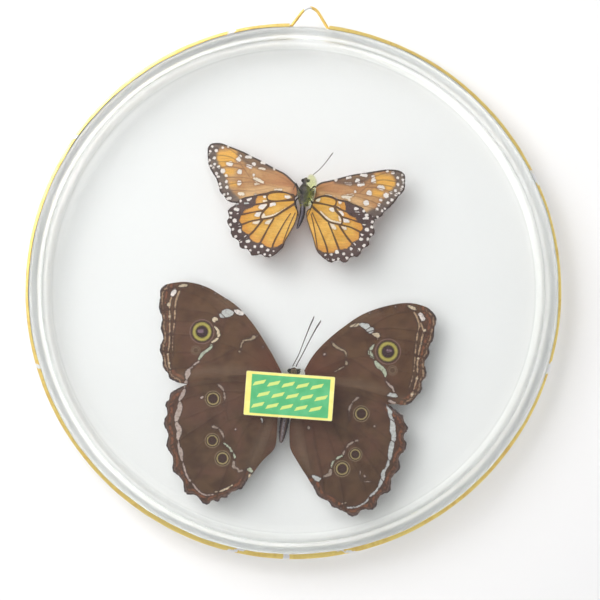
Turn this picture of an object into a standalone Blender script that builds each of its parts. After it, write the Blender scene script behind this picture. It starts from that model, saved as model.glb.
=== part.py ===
"""Framed butterfly specimen: two butterflies glued inside a round case of two pressed glass shells.

Units are metres, with +Z up. The case hangs upright by its wire loop. Its axis lies along Y: the front, which
carries the paper label and shows the insects' undersides, faces -Y, and the back, towards the wall, faces +Y.
The origin is the centre of the back glass's flat outer face. Left and right are as seen from the front.
"""
import math

import bmesh
import bpy
from mathutils import Vector

MM = 0.001
GAP = 0.3 * MM                      # clearance kept between touching pieces

# Case
CASE_RADIUS = 100.0 * MM            # to the outside of the metal band
CASE_DEPTH = 22.0 * MM
SEAM_Y = -CASE_DEPTH / 2            # plane where the two glass shells meet
PLATE_THICKNESS = 2.5 * MM
WALL_OUTER_RADIUS = 97.4 * MM
WALL_INNER_RADIUS = 94.2 * MM
SHOULDER_RADIUS = 5.0 * MM
INNER_SHOULDER_RADIUS = 2.5 * MM
FLANGE_RADIUS = 98.8 * MM
FLANGE_DEPTH = 1.75 * MM            # from the seam plane to the flange's outer face
GROOVE = 1.3 * MM                   # bevel of each flange edge, together a V for the wire
GLASS_STEPS = 72
SHOULDER_STEPS = 4

# Band and loop
BAND_SHEET = 0.5 * MM
BAND_LIP_RADIUS = 98.1 * MM
BAND_HALF_WIDTH = 2.5 * MM
BAND_EDGE = 0.2 * MM
BAND_OPENING = 14.8 * MM            # gap in the band between the feet of the loop
WIRE_RADIUS = 0.55 * MM
WIRE_TRACK_RADIUS = 98.6 * MM       # where the feet lie, in the groove under the band
FOOT_REACH = 15.0 * MM              # how far along the rim each foot is tucked
LOOP_LEG = [(7.2, 98.5), (6.6, 99.4), (5.3, 101.3), (3.9, 103.4), (2.6, 105.1), (1.3, 106.0), (0.0, 106.3)]

# Label
LABEL_SIZE = (32.6 * MM, 16.2 * MM)
LABEL_CENTRE = (0.9 * MM, -38.5 * MM)
LABEL_TURN = math.radians(-0.7)
LABEL_THICKNESS = 0.2 * MM

# Insects
WING_THICKNESS = 0.4 * MM
WING_LAYER = WING_THICKNESS + GAP   # a hindwing lies this much nearer the front than its forewing
WING_RISE = math.radians(3.0)       # the wings lean towards the back from root to tip
BODY_SIDES = 14
LEG_RADIUS = 0.3 * MM
GLUE_THICKNESS = 0.4 * MM

MORPHO_AXIS_X = 1.3 * MM
MORPHO_WING_Y = -12.7 * MM
QUEEN_AXIS_X = 1.9 * MM
QUEEN_WING_Y = -14.3 * MM

# Wing outlines in millimetres, (x, z) in the case's own frame, from the root along the leading edge
MORPHO_LEFT_FOREWING = [
    (-2.3, -32.0), (-2.8, -30.0), (-4.6, -27.0), (-6.3, -24.2), (-8.5, -21.0), (-11.3, -17.0), (-14.0, -13.5),
    (-17.0, -10.2), (-20.0, -7.4), (-23.5, -5.0), (-27.0, -3.1), (-31.0, -1.0), (-34.5, 0.2), (-37.5, 0.8),
    (-41.0, 1.0), (-44.5, 0.5), (-47.5, -0.3), (-49.1, -1.2), (-50.1, -3.0), (-50.3, -6.5), (-49.9, -10.0),
    (-49.0, -13.5), (-48.9, -17.0), (-48.2, -20.0), (-48.7, -23.0), (-48.7, -25.5), (-47.9, -28.5),
    (-47.2, -31.5), (-45.5, -34.0), (-44.0, -35.8), (-41.5, -36.7), (-38.5, -37.1), (-30.0, -38.5),
    (-14.0, -38.5), (-2.3, -37.0)]
MORPHO_RIGHT_FOREWING = [
    (4.9, -32.0), (6.0, -29.0), (7.5, -25.8), (9.5, -22.5), (12.5, -18.8), (16.5, -14.8), (20.0, -11.8),
    (24.0, -8.6), (28.0, -6.2), (33.0, -4.1), (38.0, -2.6), (41.5, -1.9), (45.0, -1.8), (48.5, -2.4),
    (51.0, -3.3), (53.0, -4.8), (54.2, -6.6), (54.5, -9.0), (54.0, -12.0), (53.7, -14.6), (52.6, -18.0),
    (52.4, -20.5), (51.3, -23.3), (51.7, -26.0), (51.8, -29.0), (50.8, -31.0), (50.6, -33.5), (49.4, -36.0),
    (47.8, -38.2), (45.5, -39.7), (43.0, -40.1), (40.5, -39.9), (30.0, -40.6), (16.0, -40.0), (4.9, -37.0)]
MORPHO_LEFT_HINDWING = [
    (-2.7, -36.0), (-8.0, -33.5), (-14.0, -32.4), (-19.0, -32.5), (-24.0, -33.3), (-28.0, -34.5),
    (-32.0, -35.5), (-35.0, -36.4), (-38.0, -37.4), (-41.0, -38.8), (-43.5, -40.5), (-44.6, -42.8),
    (-45.4, -45.2), (-45.0, -47.0), (-45.2, -49.0), (-45.6, -51.5), (-45.3, -53.5), (-44.5, -55.5),
    (-44.0, -58.0), (-44.1, -60.3), (-43.3, -62.3), (-42.2, -64.5), (-41.7, -66.0), (-41.4, -68.2),
    (-41.0, -70.0), (-39.3, -71.5), (-37.8, -73.5), (-36.9, -75.5), (-36.2, -77.3), (-34.9, -78.4),
    (-33.0, -78.6), (-31.2, -79.6), (-29.6, -80.9), (-28.0, -81.6), (-26.2, -81.4), (-25.0, -80.4),
    (-23.0, -80.1), (-21.8, -79.0), (-20.3, -78.6), (-18.8, -77.2), (-17.0, -76.3), (-16.0, -75.4),
    (-14.7, -74.9), (-13.6, -73.2), (-12.5, -71.2), (-11.2, -69.2), (-9.8, -67.0), (-8.4, -64.8),
    (-6.5, -62.5), (-4.3, -60.2), (-3.2, -58.0), (-2.9, -55.0), (-2.9, -48.0), (-2.7, -42.0)]
MORPHO_RIGHT_HINDWING = [
    (5.3, -36.0), (9.0, -34.6), (14.0, -34.0), (19.0, -34.2), (24.0, -34.8), (28.5, -35.3), (32.0, -36.5),
    (35.0, -38.3), (37.5, -39.8), (40.0, -41.2), (42.0, -42.5), (44.0, -44.0), (45.0, -46.0), (46.0, -48.0),
    (45.8, -49.8), (45.2, -51.5), (45.9, -53.8), (45.8, -55.8), (45.2, -57.8), (44.0, -59.5), (43.8, -61.5),
    (44.1, -63.3), (43.0, -65.5), (41.8, -67.5), (41.3, -69.3), (41.1, -71.5), (40.2, -73.0), (38.5, -73.9),
    (37.0, -75.7), (36.2, -77.8), (35.2, -79.4), (33.0, -80.2), (31.0, -80.6), (29.5, -81.8), (27.8, -82.7),
    (26.0, -82.6), (24.3, -81.8), (22.6, -81.2), (21.2, -80.1), (19.4, -79.6), (18.0, -78.2), (16.2, -77.6),
    (14.8, -76.6), (13.6, -75.6), (12.4, -73.6), (11.3, -71.8), (9.5, -69.0), (7.3, -66.0), (5.2, -63.0),
    (3.3, -60.2), (2.3, -58.0), (1.9, -55.0), (1.7, -50.0), (2.6, -45.0), (4.8, -42.0)]
QUEEN_LEFT_FOREWING = [
    (-0.9, 39.0), (-3.5, 41.7), (-6.0, 43.6), (-9.0, 44.9), (-12.0, 46.3), (-15.0, 47.8), (-18.5, 49.2),
    (-21.5, 50.6), (-24.5, 51.6), (-27.5, 52.6), (-30.3, 53.4), (-33.0, 53.3), (-34.6, 52.6), (-35.3, 51.0),
    (-35.4, 48.5), (-35.0, 46.2), (-34.2, 44.3), (-33.0, 42.2), (-31.8, 40.3), (-31.0, 38.5), (-30.1, 36.7),
    (-29.7, 35.3), (-28.6, 34.0), (-27.3, 32.6), (-26.2, 31.9), (-24.0, 31.5), (-16.0, 31.6), (-8.0, 32.6),
    (-1.0, 35.0)]
QUEEN_RIGHT_FOREWING = [
    (4.7, 38.5), (6.2, 39.9), (8.0, 41.1), (10.5, 41.8), (13.5, 42.7), (17.0, 43.9), (20.5, 44.9), (24.0, 45.6),
    (27.0, 46.3), (30.0, 47.0), (32.5, 47.4), (35.0, 47.5), (37.3, 47.1), (38.8, 46.0), (39.4, 44.3),
    (39.5, 42.3), (39.1, 40.2), (38.3, 38.8), (37.2, 37.2), (36.0, 35.6), (34.8, 34.1), (33.5, 32.6),
    (32.3, 31.3), (31.6, 30.1), (30.2, 29.2), (28.8, 28.6), (22.0, 29.4), (13.0, 31.2), (4.8, 34.6)]
QUEEN_LEFT_HINDWING = [
    (-1.7, 35.6), (-3.5, 36.1), (-5.0, 36.6), (-8.0, 37.0), (-10.5, 36.6), (-12.4, 35.8), (-14.5, 35.4),
    (-16.5, 34.7), (-18.5, 34.2), (-20.5, 33.7), (-22.3, 32.8), (-23.7, 31.6), (-25.0, 30.1), (-26.1, 28.8),
    (-26.3, 27.5), (-26.1, 25.8), (-26.3, 24.5), (-26.0, 23.3), (-25.3, 21.8), (-24.7, 20.0), (-23.9, 18.6),
    (-22.8, 17.8), (-21.7, 16.7), (-21.0, 15.3), (-20.1, 14.5), (-18.9, 14.2), (-17.5, 13.4), (-16.3, 12.2),
    (-14.8, 12.2), (-13.0, 12.3), (-11.5, 11.8), (-9.5, 11.9), (-7.9, 12.7), (-6.3, 14.2), (-4.8, 16.0),
    (-4.2, 18.0), (-3.0, 20.5), (-1.9, 22.7), (-0.9, 25.0), (-0.2, 27.5), (0.0, 29.5), (-1.2, 32.0)]
QUEEN_RIGHT_HINDWING = [
    (5.2, 34.4), (6.4, 35.2), (7.8, 35.9), (10.0, 36.4), (12.0, 36.1), (14.0, 35.3), (16.0, 34.9), (18.0, 34.7),
    (20.0, 33.8), (22.0, 33.3), (24.0, 32.6), (25.5, 31.2), (27.0, 30.6), (28.3, 29.2), (28.9, 27.8),
    (28.7, 26.4), (28.9, 25.0), (29.0, 23.6), (28.3, 22.0), (27.4, 20.3), (27.1, 18.7), (26.0, 17.7),
    (24.9, 16.5), (24.0, 15.0), (23.0, 14.1), (21.5, 13.7), (20.3, 13.0), (19.3, 11.9), (18.0, 11.6),
    (16.0, 11.9), (14.0, 11.4), (12.5, 11.5), (11.0, 12.4), (9.5, 13.5), (8.0, 15.1), (7.0, 17.0), (6.0, 20.0),
    (5.0, 22.5), (3.9, 25.2), (3.1, 27.5), (3.1, 30.0), (4.6, 31.6)]

# Bodies as stations from head to tail in millimetres: x, y, z, half-width across, half-width front to back
MORPHO_BODY = [
    (2.0, -15.2, -28.3, 0.5, 0.5), (2.0, -15.2, -28.8, 1.5, 1.3), (2.0, -15.2, -29.8, 1.9, 1.6),
    (1.9, -15.1, -31.0, 1.5, 1.4), (1.8, -15.0, -31.6, 1.6, 1.6), (1.6, -15.0, -32.6, 2.9, 2.8),
    (1.4, -15.0, -34.2, 3.5, 3.3), (1.3, -15.0, -36.0, 3.6, 3.4), (1.1, -15.0, -38.2, 3.3, 3.1),
    (0.9, -14.9, -40.2, 2.4, 2.5), (0.7, -14.8, -41.6, 1.8, 1.9), (0.3, -14.7, -44.0, 1.9, 2.2),
    (-0.2, -14.6, -47.5, 1.8, 2.1), (-0.6, -14.5, -51.0, 1.6, 1.8), (-0.9, -14.4, -54.0, 1.2, 1.4),
    (-1.1, -14.3, -55.8, 0.8, 0.9), (-1.2, -14.3, -56.6, 0.3, 0.35)]
QUEEN_BODY = [
    (2.3, -15.8, 42.3, 0.4, 0.4), (2.3, -15.8, 41.9, 1.1, 1.0), (2.2, -15.8, 41.1, 1.45, 1.25),
    (2.1, -15.8, 40.2, 1.15, 1.1), (2.0, -15.8, 39.7, 1.2, 1.2), (2.0, -15.8, 38.9, 2.2, 2.0),
    (1.9, -15.8, 37.6, 2.7, 2.5), (1.9, -15.8, 36.2, 2.8, 2.6), (1.8, -15.8, 34.4, 2.4, 2.3),
    (1.7, -15.7, 32.8, 1.6, 1.7), (1.6, -15.7, 31.8, 1.1, 1.3), (1.6, -15.6, 30.2, 1.1, 1.5),
    (1.45, -15.5, 28.2, 1.05, 1.5), (1.0, -15.4, 26.2, 0.95, 1.3), (0.5, -15.3, 24.6, 0.75, 1.0),
    (0.15, -15.2, 23.6, 0.45, 0.6), (0.0, -15.2, 23.1, 0.2, 0.25)]

# Eyes in millimetres: offset from the head's centre across, then centre y and z, and radius
MORPHO_EYES = (2.0, 1.45, -15.5, -29.7, 1.0)
QUEEN_EYES = (2.2, 1.05, -16.0, 41.1, 0.75)

# Threads: points (x, y, z) in millimetres with the half-thickness there
MORPHO_LEFT_ANTENNA = [
    (1.4, -15.4, -27.9, 0.17), (2.1, -15.2, -26.4, 0.17), (3.5, -14.6, -23.2, 0.17), (4.6, -14.0, -19.8, 0.17),
    (5.9, -13.3, -15.8, 0.19), (7.1, -12.7, -12.2, 0.24), (7.9, -12.4, -10.2, 0.26), (8.3, -12.3, -8.9, 0.15)]
MORPHO_RIGHT_ANTENNA = [
    (2.7, -15.4, -27.9, 0.19), (3.3, -15.5, -26.4, 0.19), (4.6, -15.7, -23.6, 0.19), (6.0, -15.9, -20.4, 0.19),
    (7.6, -16.1, -16.8, 0.21), (9.3, -16.2, -13.2, 0.26), (10.3, -16.3, -11.4, 0.28), (10.9, -16.3, -10.2, 0.16)]
QUEEN_ANTENNA = [
    (3.0, -15.8, 42.4, 0.15), (4.6, -15.6, 43.5, 0.15), (6.2, -15.3, 44.9, 0.15), (7.8, -15.0, 46.7, 0.15),
    (9.3, -14.7, 48.8, 0.17), (10.6, -14.4, 50.8, 0.21), (11.2, -14.3, 51.7, 0.22), (11.6, -14.2, 52.3, 0.13)]
MORPHO_LEGS = {
    "morpho_left_midleg": [(-1.1, -18.2, -34.6), (-3.4, -17.7, -37.8), (-3.0, -17.6, -42.0), (-2.2, -17.7, -45.4)],
    "morpho_right_midleg": [(3.8, -18.2, -34.6), (6.1, -17.7, -37.8), (5.5, -17.6, -42.0), (4.5, -17.7, -45.4)],
    "morpho_left_hindleg": [(-0.7, -18.3, -37.4), (-2.2, -17.7, -40.4), (-1.8, -17.6, -43.0), (-0.8, -17.8, -46.0)],
    "morpho_right_hindleg": [(3.2, -18.2, -37.4), (4.6, -17.7, -40.4), (3.9, -17.6, -43.2), (2.4, -17.8, -46.0)]}
QUEEN_LEGS = {
    "queen_left_midleg": [(0.9, -18.8, 35.9), (-0.2, -18.5, 37.7), (-1.3, -18.0, 39.6), (-1.6, -17.8, 39.4),
                          (-2.3, -17.6, 37.4)],
    "queen_left_hindleg": [(-0.1, -18.0, 34.6), (-1.2, -17.6, 33.2), (-0.6, -17.6, 30.6), (0.3, -17.8, 27.6)],
    "queen_right_midleg": [(3.9, -18.1, 37.4), (5.4, -17.8, 39.0), (6.2, -17.6, 36.4), (6.0, -17.6, 34.0)],
    "queen_right_hindleg": [(3.6, -18.0, 34.6), (4.8, -17.6, 32.6), (4.4, -17.6, 30.2), (3.4, -17.8, 27.6)]}

# Glue outlines in millimetres, (x, z)
MORPHO_GLUE = [
    (-1.6, -30.2), (0.8, -29.0), (3.4, -28.4), (5.4, -28.6), (6.2, -30.2), (6.0, -33.0), (5.2, -36.4),
    (3.4, -39.4), (0.8, -40.4), (-1.6, -38.8), (-2.6, -35.4), (-2.5, -32.2)]
QUEEN_GLUE = [
    (2.9, 42.6), (4.0, 43.3), (5.3, 42.7), (6.1, 41.0), (6.1, 38.6), (5.7, 35.6), (5.0, 32.6), (3.4, 31.4),
    (1.9, 32.0), (1.5, 34.2), (2.0, 37.0), (2.4, 40.0)]

PAINTS = {                          # colour, roughness, metallic, transmission
    "clear_glass": ((0.93, 0.97, 0.96), 0.02, 0.0, 1.0),
    "gilt_brass": ((0.78, 0.60, 0.26), 0.30, 1.0, 0.0),
    "green_paper": ((0.09, 0.45, 0.20), 0.70, 0.0, 0.0),
    "brown_wing": ((0.13, 0.08, 0.055), 0.60, 0.0, 0.0),
    "golden_wing": ((0.72, 0.42, 0.13), 0.60, 0.0, 0.0),
    "tawny_wing": ((0.50, 0.25, 0.13), 0.60, 0.0, 0.0),
    "dark_body": ((0.08, 0.075, 0.07), 0.80, 0.0, 0.0),
    "yellow_glue": ((0.80, 0.78, 0.42), 0.20, 0.0, 0.5),
}


def clear_scene():
    for thing in list(bpy.data.objects):
        bpy.data.objects.remove(thing, do_unlink=True)


def make_collection(name):
    collection = bpy.data.collections.new(name)
    bpy.context.scene.collection.children.link(collection)
    return collection


def make_paint(name):
    colour, roughness, metallic, transmission = PAINTS[name]
    paint = bpy.data.materials.new(name)
    paint.use_nodes = True
    shader = paint.node_tree.nodes["Principled BSDF"]
    shader.inputs["Base Color"].default_value = (*colour, 1.0)
    shader.inputs["Roughness"].default_value = roughness
    shader.inputs["Metallic"].default_value = metallic
    shader.inputs["Transmission Weight"].default_value = transmission
    paint.diffuse_color = (*colour, 1.0)
    return paint


def place(name, data, paint_name):
    """Put mesh or curve data in the model as one named object with its own material."""
    thing = bpy.data.objects.new(name, data)
    MODEL.objects.link(thing)
    data.materials.append(make_paint(paint_name))
    return thing


def mesh_from_bmesh(name, work):
    mesh = bpy.data.meshes.new(name)
    bmesh.ops.recalc_face_normals(work, faces=work.faces)
    work.to_mesh(mesh)
    work.free()
    return mesh


def soften(mesh, angle=40.0):
    mesh.shade_smooth()
    mesh.set_sharp_from_angle(angle=math.radians(angle))


# Case

def arc(centre, radius, start, end, steps):
    """Points of an arc in the (radius, height) plane, angles in degrees."""
    turns = [math.radians(start + (end - start) * i / steps) for i in range(steps + 1)]
    return [(centre[0] + radius * math.cos(t), centre[1] + radius * math.sin(t)) for t in turns]


def turned(name, profile, closed, paint_name):
    """Turn a profile of (radius, height) points about Z."""
    mesh = bpy.data.meshes.new(name)
    edges = [(i, i + 1) for i in range(len(profile) - 1)]
    if closed:
        edges.append((len(profile) - 1, 0))
    mesh.from_pydata([(r, 0, h) for r, h in profile], edges, [])
    thing = place(name, mesh, paint_name)
    screw = thing.modifiers.new("turn", "SCREW")
    screw.steps = GLASS_STEPS
    screw.render_steps = GLASS_STEPS
    screw.use_merge_vertices = True
    screw.merge_threshold = 0.00001
    screw.use_smooth_shade = True
    return thing


def shell_profile():
    """Half section of a glass shell, heights counted from the seam plane outwards."""
    height = CASE_DEPTH / 2
    inner = height - PLATE_THICKNESS
    outer_centre = (WALL_OUTER_RADIUS - SHOULDER_RADIUS, height - SHOULDER_RADIUS)
    inner_centre = (WALL_INNER_RADIUS - INNER_SHOULDER_RADIUS, inner - INNER_SHOULDER_RADIUS)
    seam = GAP / 2
    return ([(0, height)]
            + arc(outer_centre, SHOULDER_RADIUS, 90, 0, SHOULDER_STEPS)
            + [(WALL_OUTER_RADIUS, FLANGE_DEPTH), (FLANGE_RADIUS, FLANGE_DEPTH),
               (FLANGE_RADIUS, seam + GROOVE), (FLANGE_RADIUS - GROOVE, seam), (WALL_INNER_RADIUS, seam)]
            + arc(inner_centre, INNER_SHOULDER_RADIUS, 0, 90, SHOULDER_STEPS)
            + [(0, inner)])


def make_glass_shell(name, facing):
    """A pressed glass shell; facing is -1 for the front and 1 for the back."""
    shell = turned(name, shell_profile(), False, "clear_glass")
    shell.location = (0, SEAM_Y, 0)
    shell.rotation_euler = (-facing * math.pi / 2, 0, 0)


def make_rim_band():
    """A channel round the seam, cut open at the top where the wire comes out."""
    outer = CASE_RADIUS
    inner = CASE_RADIUS - BAND_SHEET
    half = BAND_HALF_WIDTH
    lip = BAND_HALF_WIDTH - BAND_SHEET + 0.05 * MM
    profile = [(BAND_LIP_RADIUS, half), (outer - BAND_EDGE, half), (outer, half - BAND_EDGE),
               (outer, BAND_EDGE - half), (outer - BAND_EDGE, -half), (BAND_LIP_RADIUS, -half),
               (BAND_LIP_RADIUS, -lip), (inner, -lip), (inner, lip), (BAND_LIP_RADIUS, lip)]
    band = turned("rim_band", profile, True, "gilt_brass")
    band.location = (0, SEAM_Y, 0)
    band.rotation_euler = (math.pi / 2, 0, 0)
    work = bmesh.new()
    bmesh.ops.create_cube(work, size=1.0)
    bmesh.ops.scale(work, vec=(BAND_OPENING, 4 * BAND_HALF_WIDTH, 10 * MM), verts=work.verts)
    cutter = bpy.data.objects.new("band_opening", mesh_from_bmesh("band_opening", work))
    CUTTERS.objects.link(cutter)
    cutter.location = (0, SEAM_Y, CASE_RADIUS)
    cutter.hide_render = True
    cutter.display_type = "WIRE"
    cut = band.modifiers.new("opening", "BOOLEAN")
    cut.operation = "DIFFERENCE"
    cut.object = cutter


def make_thread(name, points, paint_name):
    """A thin round piece along points (x, y, z, radius) in metres, with filled ends."""
    curve = bpy.data.curves.new(name, "CURVE")
    curve.dimensions = "3D"
    curve.bevel_depth = 1.0
    curve.bevel_resolution = 2
    curve.use_fill_caps = True
    spline = curve.splines.new("POLY")
    spline.points.add(len(points) - 1)
    for point, (x, y, z, radius) in zip(spline.points, points):
        point.co = (x, y, z, 1.0)
        point.radius = radius
    return place(name, curve, paint_name)


def make_hanging_loop():
    """The wire triangle: two feet along the groove under the band, two legs and a rounded top."""
    tuck = []
    foot_steps = 5
    for i in range(foot_steps):
        x = FOOT_REACH + (LOOP_LEG[0][0] * MM + 0.8 * MM - FOOT_REACH) * i / (foot_steps - 1)
        tuck.append((x, math.sqrt(WIRE_TRACK_RADIUS ** 2 - x ** 2)))
    right = tuck + [(x * MM, z * MM) for x, z in LOOP_LEG]
    left = [(-x, z) for x, z in reversed(right[:-1])]
    make_thread("hanging_loop", [(x, SEAM_Y, z, WIRE_RADIUS) for x, z in right + left], "gilt_brass")


def make_flat_piece(name, outline, thickness, paint_name):
    """An outline of (x, z) points, in metres, as an upright sheet of that thickness about its own plane."""
    curve = bpy.data.curves.new(name, "CURVE")
    curve.dimensions = "2D"
    curve.fill_mode = "BOTH"
    curve.extrude = thickness / 2
    spline = curve.splines.new("POLY")
    spline.points.add(len(outline) - 1)
    for point, (x, z) in zip(spline.points, outline):
        point.co = (x, z, 0.0, 1.0)
    spline.use_cyclic_u = True
    sheet = place(name, curve, paint_name)
    sheet.rotation_euler = (math.pi / 2, 0, 0)
    return sheet


def make_paper_label():
    half_width, half_height = LABEL_SIZE[0] / 2, LABEL_SIZE[1] / 2
    corners = [(-half_width, -half_height), (half_width, -half_height),
               (half_width, half_height), (-half_width, half_height)]
    label = make_flat_piece("paper_label", corners, LABEL_THICKNESS, "green_paper")
    label.location = (LABEL_CENTRE[0], -CASE_DEPTH - GAP - LABEL_THICKNESS / 2, LABEL_CENTRE[1])
    label.rotation_euler = (math.pi / 2, -LABEL_TURN, 0)


# Insects

def make_wing(name, outline, axis_x, root_y, paint_name):
    """A flat wing that leans back from the body's axis towards its tip."""
    side = 1 if outline[5][0] > 0 else -1
    local = [(x * MM - axis_x, z * MM) for x, z in outline]
    wing = make_flat_piece(name, local, WING_THICKNESS, paint_name)
    wing.location = (axis_x, root_y, 0)
    wing.rotation_euler = (math.pi / 2, 0, side * WING_RISE)


def loft(stations):
    """A closed body through elliptical sections, one after another down the insect."""
    work = bmesh.new()
    rings = []
    for x, y, z, across, deep in stations:
        ring = []
        for i in range(BODY_SIDES):
            turn = 2 * math.pi * i / BODY_SIDES
            place_at = Vector((x + across * math.cos(turn), y + deep * math.sin(turn), z)) * MM
            ring.append(work.verts.new(place_at))
        rings.append(ring)
    for upper, lower in zip(rings, rings[1:]):
        for i in range(BODY_SIDES):
            j = (i + 1) % BODY_SIDES
            work.faces.new((upper[i], upper[j], lower[j], lower[i]))
    work.faces.new(rings[0])
    work.faces.new(rings[-1])
    return work


def make_body(name, stations, eyes, paint_name):
    """Head, thorax and abdomen as one loft, with the two eyes joined to it."""
    body = place(name, mesh_from_bmesh(name, loft(stations)), paint_name)
    soften(body.data)
    head_x, offset, eye_y, eye_z, eye_radius = [value * MM for value in eyes]
    for side in (-1, 1):
        work = bmesh.new()
        bmesh.ops.create_uvsphere(work, u_segments=10, v_segments=7, radius=eye_radius)
        eye = bpy.data.objects.new(f"{name}_eye", mesh_from_bmesh(f"{name}_eye", work))
        CUTTERS.objects.link(eye)
        eye.location = (head_x + side * offset, eye_y, eye_z)
        eye.hide_render = True
        eye.display_type = "WIRE"
        union = body.modifiers.new("eye", "BOOLEAN")
        union.operation = "UNION"
        union.object = eye


def scaled(points):
    return [tuple(value * MM for value in point) for point in points]


def make_legs(legs, paint_name):
    for name, points in legs.items():
        make_thread(name, [(*point, LEG_RADIUS) for point in scaled(points)], paint_name)


def make_glue(name, outline):
    """A thin dab against the inside of the front glass."""
    dab = make_flat_piece(name, scaled(outline), GLUE_THICKNESS, "yellow_glue")
    inner_face = -CASE_DEPTH + PLATE_THICKNESS
    dab.location = (0, inner_face + GAP + GLUE_THICKNESS / 2, 0)


def make_morpho():
    hind_y = MORPHO_WING_Y - WING_LAYER
    make_wing("morpho_left_forewing", MORPHO_LEFT_FOREWING, MORPHO_AXIS_X, MORPHO_WING_Y, "brown_wing")
    make_wing("morpho_right_forewing", MORPHO_RIGHT_FOREWING, MORPHO_AXIS_X, MORPHO_WING_Y, "brown_wing")
    make_wing("morpho_left_hindwing", MORPHO_LEFT_HINDWING, MORPHO_AXIS_X, hind_y, "brown_wing")
    make_wing("morpho_right_hindwing", MORPHO_RIGHT_HINDWING, MORPHO_AXIS_X, hind_y, "brown_wing")
    make_body("morpho_body", MORPHO_BODY, MORPHO_EYES, "dark_body")
    make_thread("morpho_left_antenna", scaled(MORPHO_LEFT_ANTENNA), "dark_body")
    make_thread("morpho_right_antenna", scaled(MORPHO_RIGHT_ANTENNA), "dark_body")
    make_legs(MORPHO_LEGS, "dark_body")
    make_glue("morpho_glue", MORPHO_GLUE)


def make_queen():
    hind_y = QUEEN_WING_Y - WING_LAYER
    make_wing("queen_left_forewing", QUEEN_LEFT_FOREWING, QUEEN_AXIS_X, QUEEN_WING_Y, "tawny_wing")
    make_wing("queen_right_forewing", QUEEN_RIGHT_FOREWING, QUEEN_AXIS_X, QUEEN_WING_Y, "tawny_wing")
    make_wing("queen_left_hindwing", QUEEN_LEFT_HINDWING, QUEEN_AXIS_X, hind_y, "golden_wing")
    make_wing("queen_right_hindwing", QUEEN_RIGHT_HINDWING, QUEEN_AXIS_X, hind_y, "golden_wing")
    make_body("queen_body", QUEEN_BODY, QUEEN_EYES, "dark_body")
    make_thread("queen_antenna", scaled(QUEEN_ANTENNA), "dark_body")
    make_legs(QUEEN_LEGS, "dark_body")
    make_glue("queen_glue", QUEEN_GLUE)


def make_case():
    make_glass_shell("glass_front", -1)
    make_glass_shell("glass_back", 1)
    make_rim_band()
    make_hanging_loop()
    make_paper_label()


clear_scene()
MODEL = make_collection("framed_butterfly_specimen")
CUTTERS = make_collection("cutters")
make_case()
make_morpho()
make_queen()
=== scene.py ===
"""Framed butterfly specimen: the finished look of two butterflies inside a round glass case.

Everything is built around the CAD model, in its frame: metres, +Z up, the front (the side with the label)
towards -Y. Veins and markings are given in millimetres as (x, z), the way they are seen from the front.
"""
import math

import bmesh
import bpy
import numpy as np
from mathutils import Matrix, Vector
from mathutils.geometry import delaunay_2d_cdt


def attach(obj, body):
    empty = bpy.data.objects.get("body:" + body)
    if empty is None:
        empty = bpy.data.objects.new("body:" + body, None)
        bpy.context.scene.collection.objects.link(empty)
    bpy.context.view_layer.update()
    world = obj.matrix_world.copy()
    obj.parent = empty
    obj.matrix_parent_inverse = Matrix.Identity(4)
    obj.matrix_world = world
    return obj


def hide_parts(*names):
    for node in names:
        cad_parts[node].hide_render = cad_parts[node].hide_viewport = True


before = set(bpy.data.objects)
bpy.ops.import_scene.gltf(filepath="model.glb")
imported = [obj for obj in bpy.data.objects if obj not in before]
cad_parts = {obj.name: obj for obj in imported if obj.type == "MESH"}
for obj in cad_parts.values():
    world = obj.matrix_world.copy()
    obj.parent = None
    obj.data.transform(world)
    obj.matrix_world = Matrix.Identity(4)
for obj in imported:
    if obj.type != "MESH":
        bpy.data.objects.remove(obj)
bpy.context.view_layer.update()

MM = 0.001
BODY = "root"

# Case, as in the CAD model
CASE_RADIUS = 100.0
CASE_DEPTH = 22.0
SEAM_Y = -CASE_DEPTH / 2
PLATE_THICKNESS = 2.5
WALL_OUTER_RADIUS = 97.4
WALL_INNER_RADIUS = 94.2
SHOULDER_RADIUS = 5.0
INNER_SHOULDER_RADIUS = 2.5
FLANGE_RADIUS = 98.8
FLANGE_DEPTH = 1.75
GROOVE = 1.3
BAND_SHEET = 0.5
BAND_HALF_WIDTH = 2.5
BAND_OPENING = 14.8
BAND_BACK_LIP = 98.1
BAND_CROWN = [(0.35, 0.03), (0.1, 0.18), (0.02, 0.5), (0.0, 1.4)]
BAND_STEPS = 721
GLASS_STEPS = 256
GLASS_WAVE = 0.08
WIRE_RADIUS = 0.55
WIRE_TRACK_RADIUS = 98.6
FOOT_REACH = 15.0
LOOP_LEG = [(7.2, 98.5), (6.6, 99.4), (5.3, 101.3), (3.9, 103.4), (2.6, 105.1), (1.3, 106.0), (0.0, 106.3)]
INNER_FACE_Y = -CASE_DEPTH + PLATE_THICKNESS

# Label, as in the CAD model
LABEL_SIZE = (32.6, 16.2)
LABEL_CENTRE = (0.9, -38.5)
LABEL_TURN = math.radians(-0.7)
LABEL_BACK_Y = -22.03
LABEL_THICKNESS = 0.16
LABEL_CORNER = 0.5
LABEL_BORDER = {"left": 2.1, "right": 1.6, "top": 1.0, "bottom": 0.9}
DASH_ROWS = 3
DASHES_IN_A_ROW = 5
DASH_START_X = -10.4
DASH_SHIFT = 0.9
DASH_STEP = (5.3, 4.1)
DASH_HALF = (1.75, 0.62)
DASH_LEAN = 0.55
DASH_CLIMB = 0.28

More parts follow.
